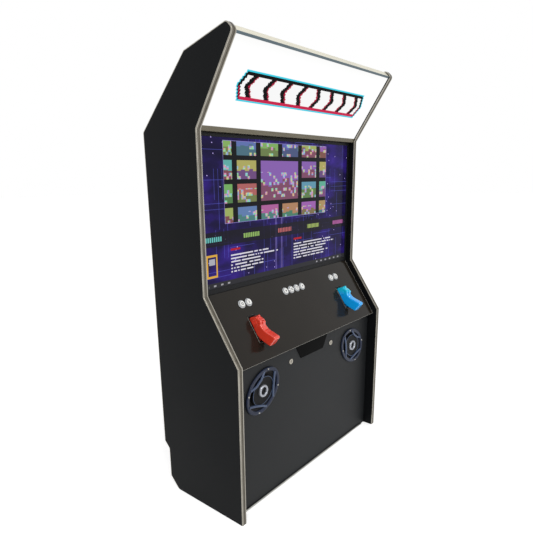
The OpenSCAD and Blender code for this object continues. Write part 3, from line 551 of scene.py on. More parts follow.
cloud = display.noise(4.2, 6)
veil = display.noise(9, 5, (1, 1, 2.4))
stops = [(0.34, paint("#08061a")), (0.5, paint("#170d40")), (0.62, paint("#2d1878")),
         (0.78, paint("#5638b0"))]
ground = display.node("ValToRGB", {"stops": stops}, {0: cloud * 0.6 + veil * 0.4})
lane = display.chance(display.point(math.floor(u * ACROSS), math.floor(v * 5), 3.0)) > 0.72
track = display.chance(display.point(math.floor(u * 7), math.floor(v * DOWN), 8.0)) > 0.78
wires = ((u * ACROSS).part() < 0.1) * lane + ((v * DOWN).part() < 0.09) * track
picture = display.mix(ground, paint("#5b5fd0"), wires * (0.2 + 0.5 * veil))
sparks = display.chance(display.point(math.floor(u * 260), math.floor(v * 150), 1.0)) > 0.997
picture = display.mix(picture, paint("#c9b6ff"), sparks)
beams = (u.within(0.424, 0.434) + u.within(0.464, 0.474)) * (v > 0.5) * (0.1 + 0.4 * veil)
picture = display.mix(picture, paint("#8f7fd0"), beams)
print("ground laid out, with wires", ACROSS, "across and", DOWN, "down")

# %% [markdown]
# The panel of scenes is a grid. The whole number of a coordinate says which scene it is and seeds
# its colours, and the part behind it says where in the scene the point lies. Each scene gets a sky,
# a ground line and a scatter of square blocks, so it reads as a small picture and shows nothing. One
# large scene takes the place of two by two small ones.

# %% Fill the scenes
COLUMN = 0.1413
LINE = 0.159
FIRST_COLUMN = 0.037
FIRST_LINE = -0.032
GAP = 0.1
grid_u = (u - FIRST_COLUMN) / COLUMN
grid_v = (v - FIRST_LINE) / LINE
big = grid_u.within(2, 4) * grid_v.within(1, 3)
col = math.floor(grid_u)
line = math.floor(grid_v)
in_u = grid_u.part()
in_v = grid_v.part()
tile = in_u.within(GAP, 1 - GAP) * in_v.within(GAP, 1 - GAP) * (1 - big)
tile = tile + grid_u.within(2 + GAP, 4 - GAP) * grid_v.within(1 + GAP, 3 - GAP)
seed_u = col * (1 - big) + 20 * big
seed_v = line * (1 - big) + 20 * big
tone = display.chance(display.point(seed_u, seed_v, 4.0))
hill = display.chance(display.point(math.floor(u * 42), seed_v, 6.0))
local_v = in_v * (1 - big) + (grid_v - 1) / 2 * big
sky = display.node("CombineColor", {"mode": "HSV"}, {0: tone, 1: 0.72, 2: 0.4})
earth = display.node("CombineColor", {"mode": "HSV"}, {0: (tone * 3.7 + 0.2).part(), 1: 0.66, 2: 0.2})
speck = display.node("CombineColor", {"mode": "HSV"}, {
    0: display.chance(display.point(math.floor(u * 150), seed_u, math.floor(v * 88))), 1: 0.6, 2: 0.7})
scene_ink = display.mix(sky, earth, local_v > 0.42 + 0.22 * hill)
blocks = display.chance(display.point(math.floor(u * 75), math.floor(v * 44), 2.0)) > 0.78
scene_ink = display.mix(scene_ink, speck, blocks * (local_v > 0.3) * 0.85)
frame_box = box_of(0.119, 0.02, 0.811, 0.563)
picture = display.mix(picture, paint("#8a7cc8"), box_of(0.1175, 0.017, 0.8125, 0.566))
picture = display.mix(picture, paint("#101013"), frame_box)
picture = display.mix(picture, scene_ink, frame_box * tile)
print("scenes in columns of", COLUMN, "and lines of", LINE)

# %% [markdown]
# Below the panel runs a dark band with pills, then two blocks of light bars with a red bar over
# each, and along the foot a status strip with small marks. The bars' lengths come from a fixed
# random number for each row.

# %% Add the band, the bars and the status strip
picture = display.mix(picture, paint("#17151d"), v.within(0.614, 0.712) * 0.9)
pill_u = (u + 0.06) / 0.22
pill = v.within(0.647, 0.68) * pill_u.part().within(0.28, 0.72) * ((u * 90).part() < 0.64)
pill_ink = display.node("CombineColor", {"mode": "HSV"}, {
    0: display.chance(display.point(math.floor(pill_u), 5.0, 5.0)), 1: 0.75, 2: 0.5})
picture = display.mix(picture, pill_ink, pill)
BAR_TOP = 0.785
BAR_PITCH = 0.0235
LEFT_TEXT = 0.145
RIGHT_TEXT = 0.557
row = math.floor((v - BAR_TOP) / BAR_PITCH)
in_row = ((v - BAR_TOP) / BAR_PITCH).part() < 0.42
reach = 0.14 + 0.2 * display.chance(display.point(row, 9.0, math.floor(u * 2)))
words = (display.chance(display.point(math.floor(u * 130), row, 7.0)) > 0.16) * in_row
left_bars = u.within(LEFT_TEXT, LEFT_TEXT + 0.38) * (u < LEFT_TEXT + reach)
right_bars = u.within(RIGHT_TEXT, RIGHT_TEXT + 0.4) * (u < RIGHT_TEXT + 0.1 + reach)
bars = words * v.within(BAR_TOP, BAR_TOP + 6 * BAR_PITCH) * (left_bars + right_bars)
picture = display.mix(picture, paint("#d9d7e0"), bars)
heads = u.within(LEFT_TEXT, LEFT_TEXT + 0.055) + u.within(RIGHT_TEXT, RIGHT_TEXT + 0.06)
picture = display.mix(picture, paint("#b01624"), heads * v.within(0.742, 0.757))
badge_edge = box_of(0.013, 0.765, 0.07, 0.925) - box_of(0.02, 0.78, 0.063, 0.91)
picture = display.mix(picture, paint("#d8a63c"), badge_edge)
picture = display.mix(picture, paint("#a9a9b4"), box_of(0.026, 0.793, 0.057, 0.835))
picture = display.mix(picture, paint("#2a2a2e"), v > 0.962)
marks = v.within(0.976, 0.988) * (u * 26).part().within(0.2, 0.55)
picture = display.mix(picture, paint("#9c9ba0"), marks * (u.within(0.02, 0.16) + u.within(0.74, 0.97)))
display.vary(Emission_Color=picture)
print("display picture finished")

# %% [markdown]
# ## Paper cones and the light strips
# A speaker's cone is pressed paper with rings round its middle. The distance from the nearer
# speaker's middle gives those rings. The light strips glow a warm white.

# %% Make the cone paper and the strips
paper = Finish("cone_paper", Specular_IOR_Level=0.3)
x, y, z = paper.xyz()
aside = abs(x) - SPEAKER_OUT * MM
climb = z - SPEAKER_UP * MM
ridges = (aside.hypot(climb) * 2100).maths("SINE") * 0.5 + 0.5
pulp = paper.noise(700, 3)
paper.vary(Base_Color=paper.mix(paint("#08080a"), paint("#17171a"), pulp), Roughness=0.6 + 0.2 * pulp)
paper.bump(ridges * 0.8 + pulp * 0.2, 0.0005)

strip = Finish("led_strip", Base_Color=paint("#f3ead0"), Emission_Strength=2.0)
x, y, z = strip.xyz()
beads = (x * 60).part().within(0.3, 0.7)
strip.vary(Emission_Color=strip.mix(paint("#b8a878"), paint("#fff3cf"), beads))
print("cones and strips ready")

# %% [markdown]
# ## Give the CAD nodes their finishes
# Most nodes already have the right shape, so they only need their material. The table says which
# node gets which finish.

# %% Dress the nodes
dress = {
    side_laminate: ["left_side_panel", "right_side_panel"],
    trim.material: ["left_edge_trim", "right_edge_trim"],
    painted_board: ["base_board", "lower_rear_panel", "upper_rear_panel", "rear_slope_panel",
                    "top_board", "rear_door", "control_board"],
    wood.material: ["wood_battens"],
    marquee.material: ["marquee_panel"],
    retainer.material: ["marquee_retainers"],
    led_board: ["marquee_light_board"],
    strip.material: ["marquee_led_strips"],
    display.material: ["screen_panel"],
    black_plastic: ["screen_bezel", "screen_rear_case", "left_holster", "right_holster",
                    "speaker_baskets", "power_inlet"],
    dark_steel: ["screen_bracket", "computer_case", "amplifier"],
    acrylic.material: ["control_overlay"],
    badge: ["name_plate"],
    white_plastic: ["button_nuts"] + [f"button_{i}" for i in range(1, 9)],
    clear_plastic: ["button_housings"],
    switch_plastic: ["button_switches"],
    front_laminate: ["front_panel"],
    zinc: ["front_hinge_fixed_leaf", "front_hinge_door_leaf", "castor_brackets", "speaker_screws"],
    nickel: ["lock_barrels", "rear_lock_barrel"],
    worn_nickel: ["left_lock_plug", "right_lock_plug", "rear_lock_plug"],
    grille_plastic: ["speaker_grilles"],
    paper.material: ["speaker_cones"],
    magnet_steel: ["speaker_motors"],
    rocker_red: ["power_rocker"],
    rubber: ["left_castor_wheel", "right_castor_wheel"],
    red_plastic: ["left_gun"],
    blue_plastic: ["right_gun"],
    red_shade: ["left_trigger"],
    blue_shade: ["right_trigger"],
}
for material, names in dress.items():
    for name in names:
        nodes[name].data.materials.clear()
        nodes[name].data.materials.append(material)
dressed = {name for names in dress.values() for name in names}
print("not dressed:", sorted(set(nodes) - dressed))

# %% [markdown]
# ## Shells from rings
# Most of the finer pieces are lofts: a row of closed rings of points, joined into a skin. A turned
# piece is a loft of circles, an oval one a loft of ovals, and a moulded one is a side view that is
# drawn in a little towards both of its flat sides. So three small helpers make nearly everything.


# %% Loft, turn and round
def loft(shell, rings, closed=False):
    """Skin over rings of the same number of points, with flat ends unless it closes on itself."""
    made = [[shell.verts.new(point) for point in ring] for ring in rings]
    for low, high in zip(made, made[1:] + (made[:1] if closed else [])):
        for i in range(len(low)):
            j = (i + 1) % len(low)
            shell.faces.new((low[i], low[j], high[j], high[i]))
    if not closed:
        shell.faces.new(made[0])
        shell.faces.new(made[-1])


def oval(long, short, z, steps):
    turns = [2 * math.pi * k / steps for k in range(steps)]
    return [Vector((long * math.cos(a), short * math.sin(a), z)) for a in turns]


def turned(shell, profile, closed, steps=40, stretch=1.0):
    """A profile of (radius, height) turned round Z."""
    loft(shell, [oval(r * stretch, r, z, steps) for r, z in profile], closed)


NEARLY_STRAIGHT = 1.5


def rounded(points, radius, steps=3):
    """A polygon with its corners rounded, as far as its sides leave room."""
    made = []
    for a, b, c in zip(points[-1:] + points[:-1], points, points[1:] + points[:1]):
        a, b, c = Vector(a), Vector(b), Vector(c)
        back = (a - b).normalized()
        on = (c - b).normalized()
        half = back.angle(on) / 2
        if half > NEARLY_STRAIGHT:
            made.append(b)
            continue
        reach = min(radius / math.tan(half), 0.45 * (a - b).length, 0.45 * (c - b).length)
        size = reach * math.tan(half)
        centre = b + (back + on).normalized() * (size / math.sin(half))
        start = (b + back * reach - centre).normalized()
        end = (b + on * reach - centre).normalized()
        for k in range(steps + 1):
            made.append(centre + start.lerp(end, k / steps).normalized() * size)
    return made


def drawn_in(points, distance):
    """A polygon that runs anticlockwise, moved inwards by a distance."""
    made = []
    for a, b, c in zip(points[-1:] + points[:-1], points, points[1:] + points[:1]):
        first = (b - a).normalized()
        second = (c - b).normalized()
        lean_in = Vector((-first.y - second.y, first.x + second.x))
        made.append(b + lean_in * (distance / (1 + first.dot(second))))
    return made


def turn_left(points):
    """The polygon, turned round if it runs clockwise."""
    pairs = zip(points, points[1:] + points[:1])
    area = sum(a[0] * b[1] - b[0] * a[1] for a, b in pairs)
    return points if area > 0 else points[::-1]


def pillow(shell, outline, half, soft, corner, steps=4):
    """A side view in (Y, Z), thick on both sides of the middle, with rounded edges."""
    base = rounded(turn_left(outline), corner)
    turns = [math.pi / 2 * k / steps for k in range(steps + 1)]
    offsets = [(half - soft + soft * math.sin(a), soft * (1 - math.cos(a))) for a in turns]
    levels = [(-x, d) for x, d in reversed(offsets)] + offsets
    loft(shell, [[Vector((x, *p)) for p in drawn_in(base, d)] for x, d in levels])


print("an oval of 8 points starts at", tuple(oval(2, 1, 0, 8)[0]))

# %% [markdown]
# ## From shell to piece
# A finished piece has its faces pointing out, smooth shading except over real edges, its place in
# its mesh, a finish and a body to ride on. One function makes the mesh, and another gives it its
# finish and its body.


# %% Turn a shell into a piece
SHARP = math.radians(36)


def add_object(name, shell, place):
    """A mesh object at the origin, with its place in its mesh."""
    bmesh.ops.recalc_face_normals(shell, faces=shell.faces)
    for face in shell.faces:
        face.smooth = True
    for edge in shell.edges:
        edge.smooth = edge.calc_face_angle(0) < SHARP
    mesh = bpy.data.meshes.new(name)
    shell.to_mesh(mesh)
    shell.free()
    mesh.transform(place)
    made = bpy.data.objects.new(name, mesh)
    bpy.context.scene.collection.objects.link(made)
    return made


def settle(made, material, body, slot, *replaced):
    """Gives a piece its finish, its body and the CAD nodes that it stands for. The slot is not used.
    """
    made.data.materials.clear()
    made.data.materials.append(material)
    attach(made, body)
    if replaced:
        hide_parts(*replaced)
    print(made.name, len(made.data.polygons), "faces, rides on", body)
    return made


def plain(source, name):
    """What an object's modifiers make of it, as a plain mesh; the source goes."""
    view = bpy.context.evaluated_depsgraph_get()
    mesh = bpy.data.meshes.new_from_object(source.evaluated_get(view), depsgraph=view)
    old = source.data
    bpy.data.objects.remove(source)
    bpy.data.meshes.remove(old)
    mesh.name = name
    made = bpy.data.objects.new(name, mesh)
    bpy.context.scene.collection.objects.link(made)
    return made


# %% [markdown]
# ## One piece on many marks
# Rings, screws and ribs repeat. A Geometry Nodes tree puts a copy of one piece on every point of a
# mesh of marks, makes the copies real and gives them their finish. The tree's inputs are set by
# each socket's identifier, and the result is kept as a plain mesh. Every tree ends in the same two
# nodes, so one function makes that end, one joins sockets, and one runs a tree on a mesh.


# %% Write the parts that every tree shares
def node_tree(name, inputs):
    """A tree with named inputs that ends in Realize Instances and Set Material.

    Gives the tree, its start, the node that takes the shape and the inputs' identifiers.
    """
    tree = bpy.data.node_groups.new(name, "GeometryNodeTree")
    names = {}
    for key, kind in {**inputs, "Finish": "Material"}.items():
        names[key] = tree.interface.new_socket(key, in_out="INPUT", socket_type="NodeSocket" + kind)
    tree.interface.new_socket("Result", in_out="OUTPUT", socket_type="NodeSocketGeometry")
    start = tree.nodes.new("NodeGroupInput")
    end = tree.nodes.new("NodeGroupOutput")
    real = tree.nodes.new("GeometryNodeRealizeInstances")
    coat = tree.nodes.new("GeometryNodeSetMaterial")
    wire(tree, (real, "Geometry", coat, "Geometry"), (start, "Finish", coat, "Material"),
         (coat, "Geometry", end, "Result"))
    return tree, start, real, {key: socket.identifier for key, socket in names.items()}


def wire(tree, *links):
    """Joins an output of one node to an input of another, for each link."""
    for node, out, to, into in links:
        tree.links.new(node.outputs[out], to.inputs[into])


def grown(name, mesh, tree, ids, **values):
    """What a tree makes of a mesh with these values, as a plain mesh object."""
    carrier = bpy.data.objects.new(name + "_carrier", mesh)
    bpy.context.scene.collection.objects.link(carrier)
    modifier = carrier.modifiers.new("tree", "NODES")
    modifier.node_group = tree
    for key, value in values.items():
        modifier[ids[key]] = value
    return plain(carrier, name)


print("every tree ends in real geometry with a finish")


# %% Build the tree for marks
def marks_tree():
    inputs = {"Marks": "Geometry", "Piece": "Object", "Size": "Float"}
    tree, start, real, ids = node_tree("piece_on_marks", inputs)
    info = tree.nodes.new("GeometryNodeObjectInfo")
    spread = tree.nodes.new("GeometryNodeInstanceOnPoints")
    wire(tree, (start, "Piece", info, "Object"), (start, "Marks", spread, "Points"),
         (info, "Geometry", spread, "Instance"), (start, "Size", spread, "Scale"),
         (spread, "Instances", real, "Geometry"))
    return tree, ids


MARKS, MARKS_INPUTS = marks_tree()


def on_marks(name, shell, place, marks, material):
    """A copy of the shell on each mark; place turns the shell, marks are points in metres."""
    single = add_object(name + "_single", shell, place)
    points = bpy.data.meshes.new(name + "_marks")
    points.from_pydata([tuple(mark) for mark in marks], [], [])
    made = grown(name, points, MARKS, MARKS_INPUTS, Piece=single, Size=1.0, Finish=material)
    bpy.data.objects.remove(single)
    return made


def turn_only(matrix):
    """The turn and scale of a matrix, without its shift."""
    return matrix.to_3x3().to_4x4()


print("tree inputs:", sorted(MARKS_INPUTS))

# %% [markdown]
# ## Light guns
# Each gun is one smooth moulding: a slide that goes down into the holster, a sight and a spur behind
# it, a grip that points out at the player, and a guard round the trigger. Each part is a pillow
# from its side view. They overlap, and a voxel remesh melts them into one closed skin with the soft
# inner corners that a mould gives. The bore and the trigger's slot are cut afterwards.

# %% Draw the gun's side views: (up the deck, out of the deck) in mm
SLIDE = [(126, -154.6), (165, -154.6), (165, 8), (157, 30), (136, 43), (124, 40), (118, 30),
         (118, -4), (126, -10)]
SIGHT = [(160, 18), (160, 36), (157, 41), (152, 39), (146, 30)]
SPUR = [(142, 34), (129, 49), (123, 48), (112, 36), (120, 26)]
GRIP = [(128, 20), (124, 38), (112, 37), (98, 41), (84, 50), (54, 73), (46, 71), (34, 33),
        (38, 27), (52, 17), (66, 8), (78, 1), (96, -6), (126, -6)]
GUARD = [(96, 4), (78, 1), (70, -6), (70, -42), (77, -53), (118, -60), (130, -64), (130, -50),
         (118, -52), (81, -47), (76, -40), (77, -12), (90, -8), (110, -9)]
FRAME = [(119, -4), (119, -60), (130, -64), (130, -4)]
TRIGGER = [(121, -35), (124, -30), (121, -25), (112, -26), (100, -29), (87, -34), (85, -38),
           (89, -39), (104, -35)]
parts = {"slide": (SLIDE, 14, 3.4, 4), "sight": (SIGHT, 4.5, 1.2, 2), "spur": (SPUR, 8.5, 3, 3),
         "grip": (GRIP, 16, 5.5, 6), "guard": (GUARD, 7, 2.2, 3), "frame": (FRAME, 9, 2.5, 2)}
VOXEL = 0.0011
BORE_RADIUS = 8
RIB_OUT = 13.7
RIB_FOOT = 2
RIB_PITCH = 4.2


def make_gun(side, name, material, slot, trigger_material):
    place = at(on_deck, side * STATION, DECK_START)
    shell = bmesh.new()
    for outline, half, soft, corner in parts.values():
        pillow(shell, outline, half, soft, corner)
    rough = add_object(name + "_rough", shell, place)
    melt = rough.modifiers.new("melt", "REMESH")
    melt.mode = "VOXEL"
    melt.voxel_size = VOXEL
    melt.use_smooth_shade = True
    relax = rough.modifiers.new("relax", "SMOOTH")
    relax.factor = 0.5
    relax.iterations = 3
    body = plain(rough, name + "_body")
    cutters = bmesh.new()
    bore = Matrix.Translation((0, 146, -156))
    bmesh.ops.create_cone(cutters, cap_ends=True, segments=32, radius1=BORE_RADIUS,
                          radius2=BORE_RADIUS, depth=40, matrix=bore)
    slot_cut = Matrix.Translation((0, 119, -30)) @ Matrix.Diagonal((9, 20, 17, 1))
    bmesh.ops.create_cube(cutters, size=1, matrix=slot_cut)
    knife = add_object(name + "_knife", cutters, place)
    cut = body.modifiers.new("cut", "BOOLEAN")
    cut.object = knife
    cut.operation = "DIFFERENCE"
    cut.solver = "EXACT"
    gun = plain(body, name + "_moulding")
    bpy.data.objects.remove(knife)
    settle(gun, material, name, slot, name)
    shell = bmesh.new()
    pillow(shell, TRIGGER, 4, 1.4, 2)
    trigger = name.replace("gun", "trigger")
    blade = add_object(trigger + "_blade", shell, place)
    settle(blade, trigger_material, trigger, slot, trigger)
    rib = [(131, -1.1), (153, -1.1), (153, 1.1), (131, 1.1)]
    for face in (-1, 1):
        shell = bmesh.new()
        pillow(shell, rib, 1.5, 0.8, 1.0, 2)
        marks = [place @ Vector((face * RIB_OUT, 0, RIB_FOOT + RIB_PITCH * k)) for k in range(6)]
        ribs = on_marks(f"{name}_ribs_{'right' if face > 0 else 'left'}", shell, turn_only(place),
                        marks, material)
        settle(ribs, material, name, slot)


make_gun(-1, "left_gun", red_plastic, "red_plastic", red_shade)
make_gun(1, "right_gun", blue_plastic, "blue_plastic", blue_shade)

# %% [markdown]
# ## Push buttons
# A button is a turned ring that is clamped in the deck and a dished cap that slides in it. The ring
# is the same eight times, so it goes on eight marks. The caps move one by one, so each is its own
# piece. Each cap has a small dark mark of plain shape, the same on both sides of the middle.

# %% Turn the rings
ring_profile = [(16.5, 0), (16.5, 1.5), (16.0, 2.5), (14.9, 3.2), (13.7, 3.15), (12.8, 2.4),
                (12.3, 1.4), (12.1, -32), (2.6, -32), (2.6, -36), (14.7, -36), (14.7, 0)]
button_places = [-STATION - PITCH / 2, -STATION + PITCH / 2, -1.5 * PITCH, -0.5 * PITCH,
                 0.5 * PITCH, 1.5 * PITCH, STATION - PITCH / 2, STATION + PITCH / 2]
shell = bmesh.new()
turned(shell, ring_profile, closed=True, steps=48)
marks = [on_deck @ Vector((place, BUTTON_ROW, 0)) for place in button_places]
rings = on_marks("button_rings", shell, turn_only(on_deck), marks, clear_plastic)
settle(rings, clear_plastic, "cabinet", "clear_plastic", "button_housings")

# %% Turn the caps and mark them
cap_profile = [(0.01, -32.7), (2.5, -32.7), (2.5, -16), (11.9, -16), (11.9, 4.6), (11.6, 5.8),
               (10.8, 6.6), (9.6, 6.8), (7.5, 6.45), (4, 6.05), (0.01, 5.9)]


def cap_finish(number, middle):
    """White plastic with a plain mark and painted shade round its rim, drawn from the distance to the
    cap's middle.
    """
    cap = Finish(f"button_cap_{number}", Roughness=0.2, Coat_Weight=0.4)
    x, y, z = cap.xyz()
    aside = abs((x - middle * MM) / MM)
    upward = abs((up_deck(y, z) - BUTTON_ROW * MM) / MM)
    far = aside.hypot(upward)
    square = aside.maths("MAXIMUM", upward)
    kind = min(number, 9 - number)
    drawn = {
        1: far.within(3.0, 5.6),
        2: (aside < 1.6) * (upward < 5.4),
        3: ((aside < 1.4) + (upward < 1.4)) * (square < 5.2),
        4: square.within(2.8, 5.0),
    }[kind]
    worn = cap.noise(60, 3)
    white = cap.mix(paint("#dcdcd8"), paint("#f1f1ee"), worn)
    # The cap's colour turns grey towards its rounded rim: painted shade on the dome's edge.
    edge = far.fade(9.6, 11.9) * 0.4
    cap.vary(Base_Color=cap.mix(cap.mix(white, paint("#8d8f92"), edge), paint("#1f2124"), drawn))
    cap.bump(worn, 0.00002)
    return cap.material


for number, place in enumerate(button_places, 1):
    shell = bmesh.new()
    turned(shell, cap_profile, closed=False)
    cap = add_object(f"button_cap_{number}", shell, at(on_deck, place, BUTTON_ROW))
    settle(cap, cap_finish(number, place), f"button_{number}", "white_plastic", f"button_{number}")

# %% [markdown]
# ## Speaker grilles
# A moulded ring holds three bent brackets in front of the cone. Each comes in from the ring, runs
# past the dark dish in the middle and goes out to the ring again, and the gaps between them show the
# cone. The dish has a thin rim, and a plain silver ring marks its middle. The brackets and the rim
# are a lighter copy of the ring's blue-grey plastic: painted highlight along them. They follow a
# path, so a second Geometry Nodes tree sweeps a rounded section along it.


# %% Sweep a rib along a path
def rib_tree():
    inputs = {"Path": "Geometry", "Width": "Float", "Height": "Float", "Corner": "Float"}
    tree, start, real, ids = node_tree("rib_on_path", inputs)
    path_line = tree.nodes.new("GeometryNodeMeshToCurve")
    upright = tree.nodes.new("GeometryNodeSetCurveNormal")
    upright.mode = "Z_UP"
    section = tree.nodes.new("GeometryNodeCurvePrimitiveQuadrilateral")
    soften = tree.nodes.new("GeometryNodeFilletCurve")
    soften.mode = "POLY"
    soften.inputs["Count"].default_value = 2
    sweep = tree.nodes.new("GeometryNodeCurveToMesh")
    sweep.inputs["Fill Caps"].default_value = True
    wire(tree, (start, "Path", path_line, "Mesh"), (path_line, "Curve", upright, "Curve"),
         (start, "Width", section, "Width"), (start, "Height", section, "Height"),
         (section, "Curve", soften, "Curve"), (start, "Corner", soften, "Radius"),
         (upright, "Curve", sweep, "Curve"), (soften, "Curve", sweep, "Profile Curve"),
         (sweep, "Mesh", real, "Geometry"))
    return tree, ids


RIB, RIB_INPUTS = rib_tree()


def rib_on_path(name, points, edges, section, material, place):
    """A rib of a section (width, height, corner) along the edges between points, all in mm."""
    path = bpy.data.meshes.new(name + "_path")
    path.from_pydata([tuple(point) for point in points], edges, [])
    width, height, corner = section
    made = grown(name, path, RIB, RIB_INPUTS, Width=width, Height=height, Corner=corner,
                 Finish=material)
    made.data.transform(place)
    return made


def loop_of(points):
    """The edges that join points in a ring."""
    return [(k, (k + 1) % len(points)) for k in range(len(points))]


print("rib inputs:", sorted(RIB_INPUTS))

# %% Build the grilles
LONG = 103
SHORT = 79
DISH = 50
DISH_STRETCH = 1.22
silver = plastic_finish("silver_ring", "#85888f", "#adb0b8", 0.24, 400, 0.00003, Metallic=0.7)
# A lighter copy of the grille's plastic for the brackets and the dish rim: painted highlight.
grille_plastic_highlit = plastic_finish("grille_plastic_highlit", "#27344f", "#43536f", 0.2, 700, 0.00006, IOR=1.4)
rim_path = oval(DISH * DISH_STRETCH, DISH, 5.0, 56)
ring_section = [(0, 2.5), (0, 5.4), (0.7, 6.8), (2.4, 7.8), (5, 7.9), (13.4, 7.3), (15.2, 6.4),
                (16, 4.6), (16, 2.5)]
dish_profile = [(0.01, 0.5), (15, 1), (26, 2.4), (49, 3.4), (51, 4.2), (50, 5.2), (40, 4.0),
                (26, 4.4), (15, 3.4), (0.01, 4.4)]
hub_section = [(15, 3.4), (14.4, 6), (15.2, 9.6), (17.4, 11.6), (20, 12), (22.8, 10.8), (24.6, 8.4),
               (25.2, 3.6)]
BRACKETS = ((90, 32), (212, 42), (326, 42))
BEND = 16
BOSS_LONG = 96.5
BOSS_SHORT = 72.5


def boss_spots(height):
    """Where the four screws of a speaker stand."""
    turns = [math.radians(turn) for turn in range(45, 360, 90)]
    return [Vector((BOSS_LONG * math.cos(a), BOSS_SHORT * math.sin(a), height)) for a in turns]


def bracket_path(flip):
    """The brackets' points and edges; flip is -1 where the grille is the mirror image."""
    points = []
    edges = []
    for middle, reach in BRACKETS:
        first = len(points)
        for turn, share, rise in ((-reach, 0.88, 5.6), (-BEND, 0.64, 7.4), (BEND, 0.64, 7.4),
                                  (reach, 0.88, 5.6)):
            a = math.radians(middle + turn)
            points.append((LONG * share * math.cos(a), flip * SHORT * share * math.sin(a), rise))
        edges += [(first + k, first + k + 1) for k in range(3)]
    return points, edges


for side, (x_mm, z_mm, lean_deg) in SPEAKERS.items():
    place = at(on_panel, x_mm, z_mm, lean_deg)
    shell = bmesh.new()
    loft(shell, [oval(LONG - d, SHORT - d, z, 72) for d, z in ring_section], closed=True)
    for spot in boss_spots(8):
        bmesh.ops.create_cone(shell, cap_ends=True, segments=20, radius1=5.2, radius2=4.6, depth=1.2,
                              matrix=Matrix.Translation(spot))
    ring = add_object(f"{side}_grille_ring", shell, place)
    settle(ring, grille_plastic, "front_panel", "blue_grey_plastic", "speaker_grilles")
    path_points, path_edges = bracket_path(1 if side == "left" else -1)
    brackets = rib_on_path(f"{side}_grille_brackets", path_points, path_edges, (9.5, 7, 2.2),
                           grille_plastic_highlit, place)
    settle(brackets, grille_plastic_highlit, "front_panel", "blue_grey_plastic")
    rim = rib_on_path(f"{side}_dish_rim", rim_path, loop_of(rim_path), (2.4, 2, 0.6),
                      grille_plastic_highlit, place)
    settle(rim, grille_plastic_highlit, "front_panel", "blue_grey_plastic")
    shell = bmesh.new()
    turned(shell, dish_profile, closed=False, steps=48, stretch=DISH_STRETCH)
    dish = add_object(f"{side}_speaker_dish", shell, place)
    settle(dish, dish_plastic, "front_panel", "black_plastic")
    shell = bmesh.new()
    turned(shell, hub_section, closed=True, steps=48)
    hub = add_object(f"{side}_speaker_ring", shell, place)
    settle(hub, silver, "front_panel", "blue_grey_plastic")

# %% [markdown]
# ## The lips of the holsters
# Where a holster comes through the overlay, its edge catches the light as a thin pale line round the
# opening, and here that line is a pale grey rib: a painted highlight. It is one more path with a
# small section, drawn flat on the deck.

# %% Edge the holsters
LIP_X = 21.2
LIP_LOW = 61.8
LIP_HIGH = 173.2
# The lip's pale grey is a painted highlight on the holster's black edge.
lip_highlight_grey = plastic_finish("lip_painted_highlight", "#8d897f", "#b9b4a8", 0.3, 700, 0.00005)
corners = [(-LIP_X, LIP_LOW), (LIP_X, LIP_LOW), (LIP_X, LIP_HIGH), (-LIP_X, LIP_HIGH)]
lip_path = [(p.x, p.y, 0.6) for p in rounded(corners, 3)]
for side, name in ((-1, "left_holster"), (1, "right_holster")):
    lip = rib_on_path(f"{name}_lip", lip_path, loop_of(lip_path), (2.2, 1.1, 0.4), lip_highlight_grey,
                      at(on_deck, side * STATION, DECK_START))
    settle(lip, lip_highlight_grey, "cabinet", "black_plastic")

# %% [markdown]
# ## The strip under the display
# A black strip fills the slot between the head of the deck and the display's frame: a dark piece
# put where the slot shows only shade, painted shade. It is a rib on a straight path.

# %% Fill the slot
STRIP_REACH = 481
strip_path = [(-STRIP_REACH, 0, 0), (STRIP_REACH, 0, 0)]
in_slot = Matrix.Translation((0, -0.0276, 0.8492)) @ in_mm
# A black strip that stands for the shade in the slot: painted shade.
shade_filler = rib_on_path("display_foot_strip", strip_path, [(0, 1)], (9.6, 6, 1), black_plastic, in_slot)
settle(shade_filler, black_plastic, "cabinet", "black_plastic")

# %% [markdown]
# ## Screws and lock heads
# The screws have low domed heads with a recess. Four hold each speaker, and rows of them hold the
# rear boards to their battens. A lock's head is a turned bezel with a soft edge round the plug.

# %% Turn the screws
head_profile = [(0.01, 0.9), (0.9, 0.9), (1.3, 1.7), (2.2, 1.8), (3.1, 1.3), (3.6, 0.4), (3.6, 0),
                (1.9, 0), (1.9, -16), (0.01, -17.6)]


def screws(name, marks, turn, body, slot, material, *replaced):
    shell = bmesh.new()
    turned(shell, head_profile, closed=False, steps=20)
    made = on_marks(name, shell, turn, marks, material)
    return settle(made, material, body, slot, *replaced)


speaker_marks = []
for x_mm, z_mm, lean_deg in SPEAKERS.values():
    place = at(on_panel, x_mm, z_mm, lean_deg)
    speaker_marks += [place @ spot for spot in boss_spots(8.4)]
screws("speaker_screw_heads", speaker_marks, turn_only(on_panel), "front_panel", "zinc_steel", zinc,
       "speaker_screws")

# %% Screw the rear boards
REAR_FACE = 0.2115
HEEL_FACE = 0.1855
HEEL_ROW = 0.096
ROW_FOOT = 0.94
ROW_PITCH = 0.115
SCREW_X = 0.473
BOARD_INSET = 0.006
END_GAP = 0.045
SHOULDER = Vector((0.435, 1.4173))
RIDGE = Vector((0.2001, 1.6481))
BROW = Vector((0.0101, 1.7001))
facing_back = Matrix.Rotation(-math.pi / 2, 4, "X") @ in_mm
rows = [ROW_FOOT + ROW_PITCH * k for k in range(5)]
back_marks = [(side * SCREW_X, REAR_FACE, z) for side in (-1, 1) for z in rows]
back_marks += [(0.45 * k, HEEL_FACE, HEEL_ROW) for k in (-1, -0.5, 0, 0.5, 1)]
screws("rear_board_screws", back_marks, facing_back, "cabinet", "zinc_steel", zinc)

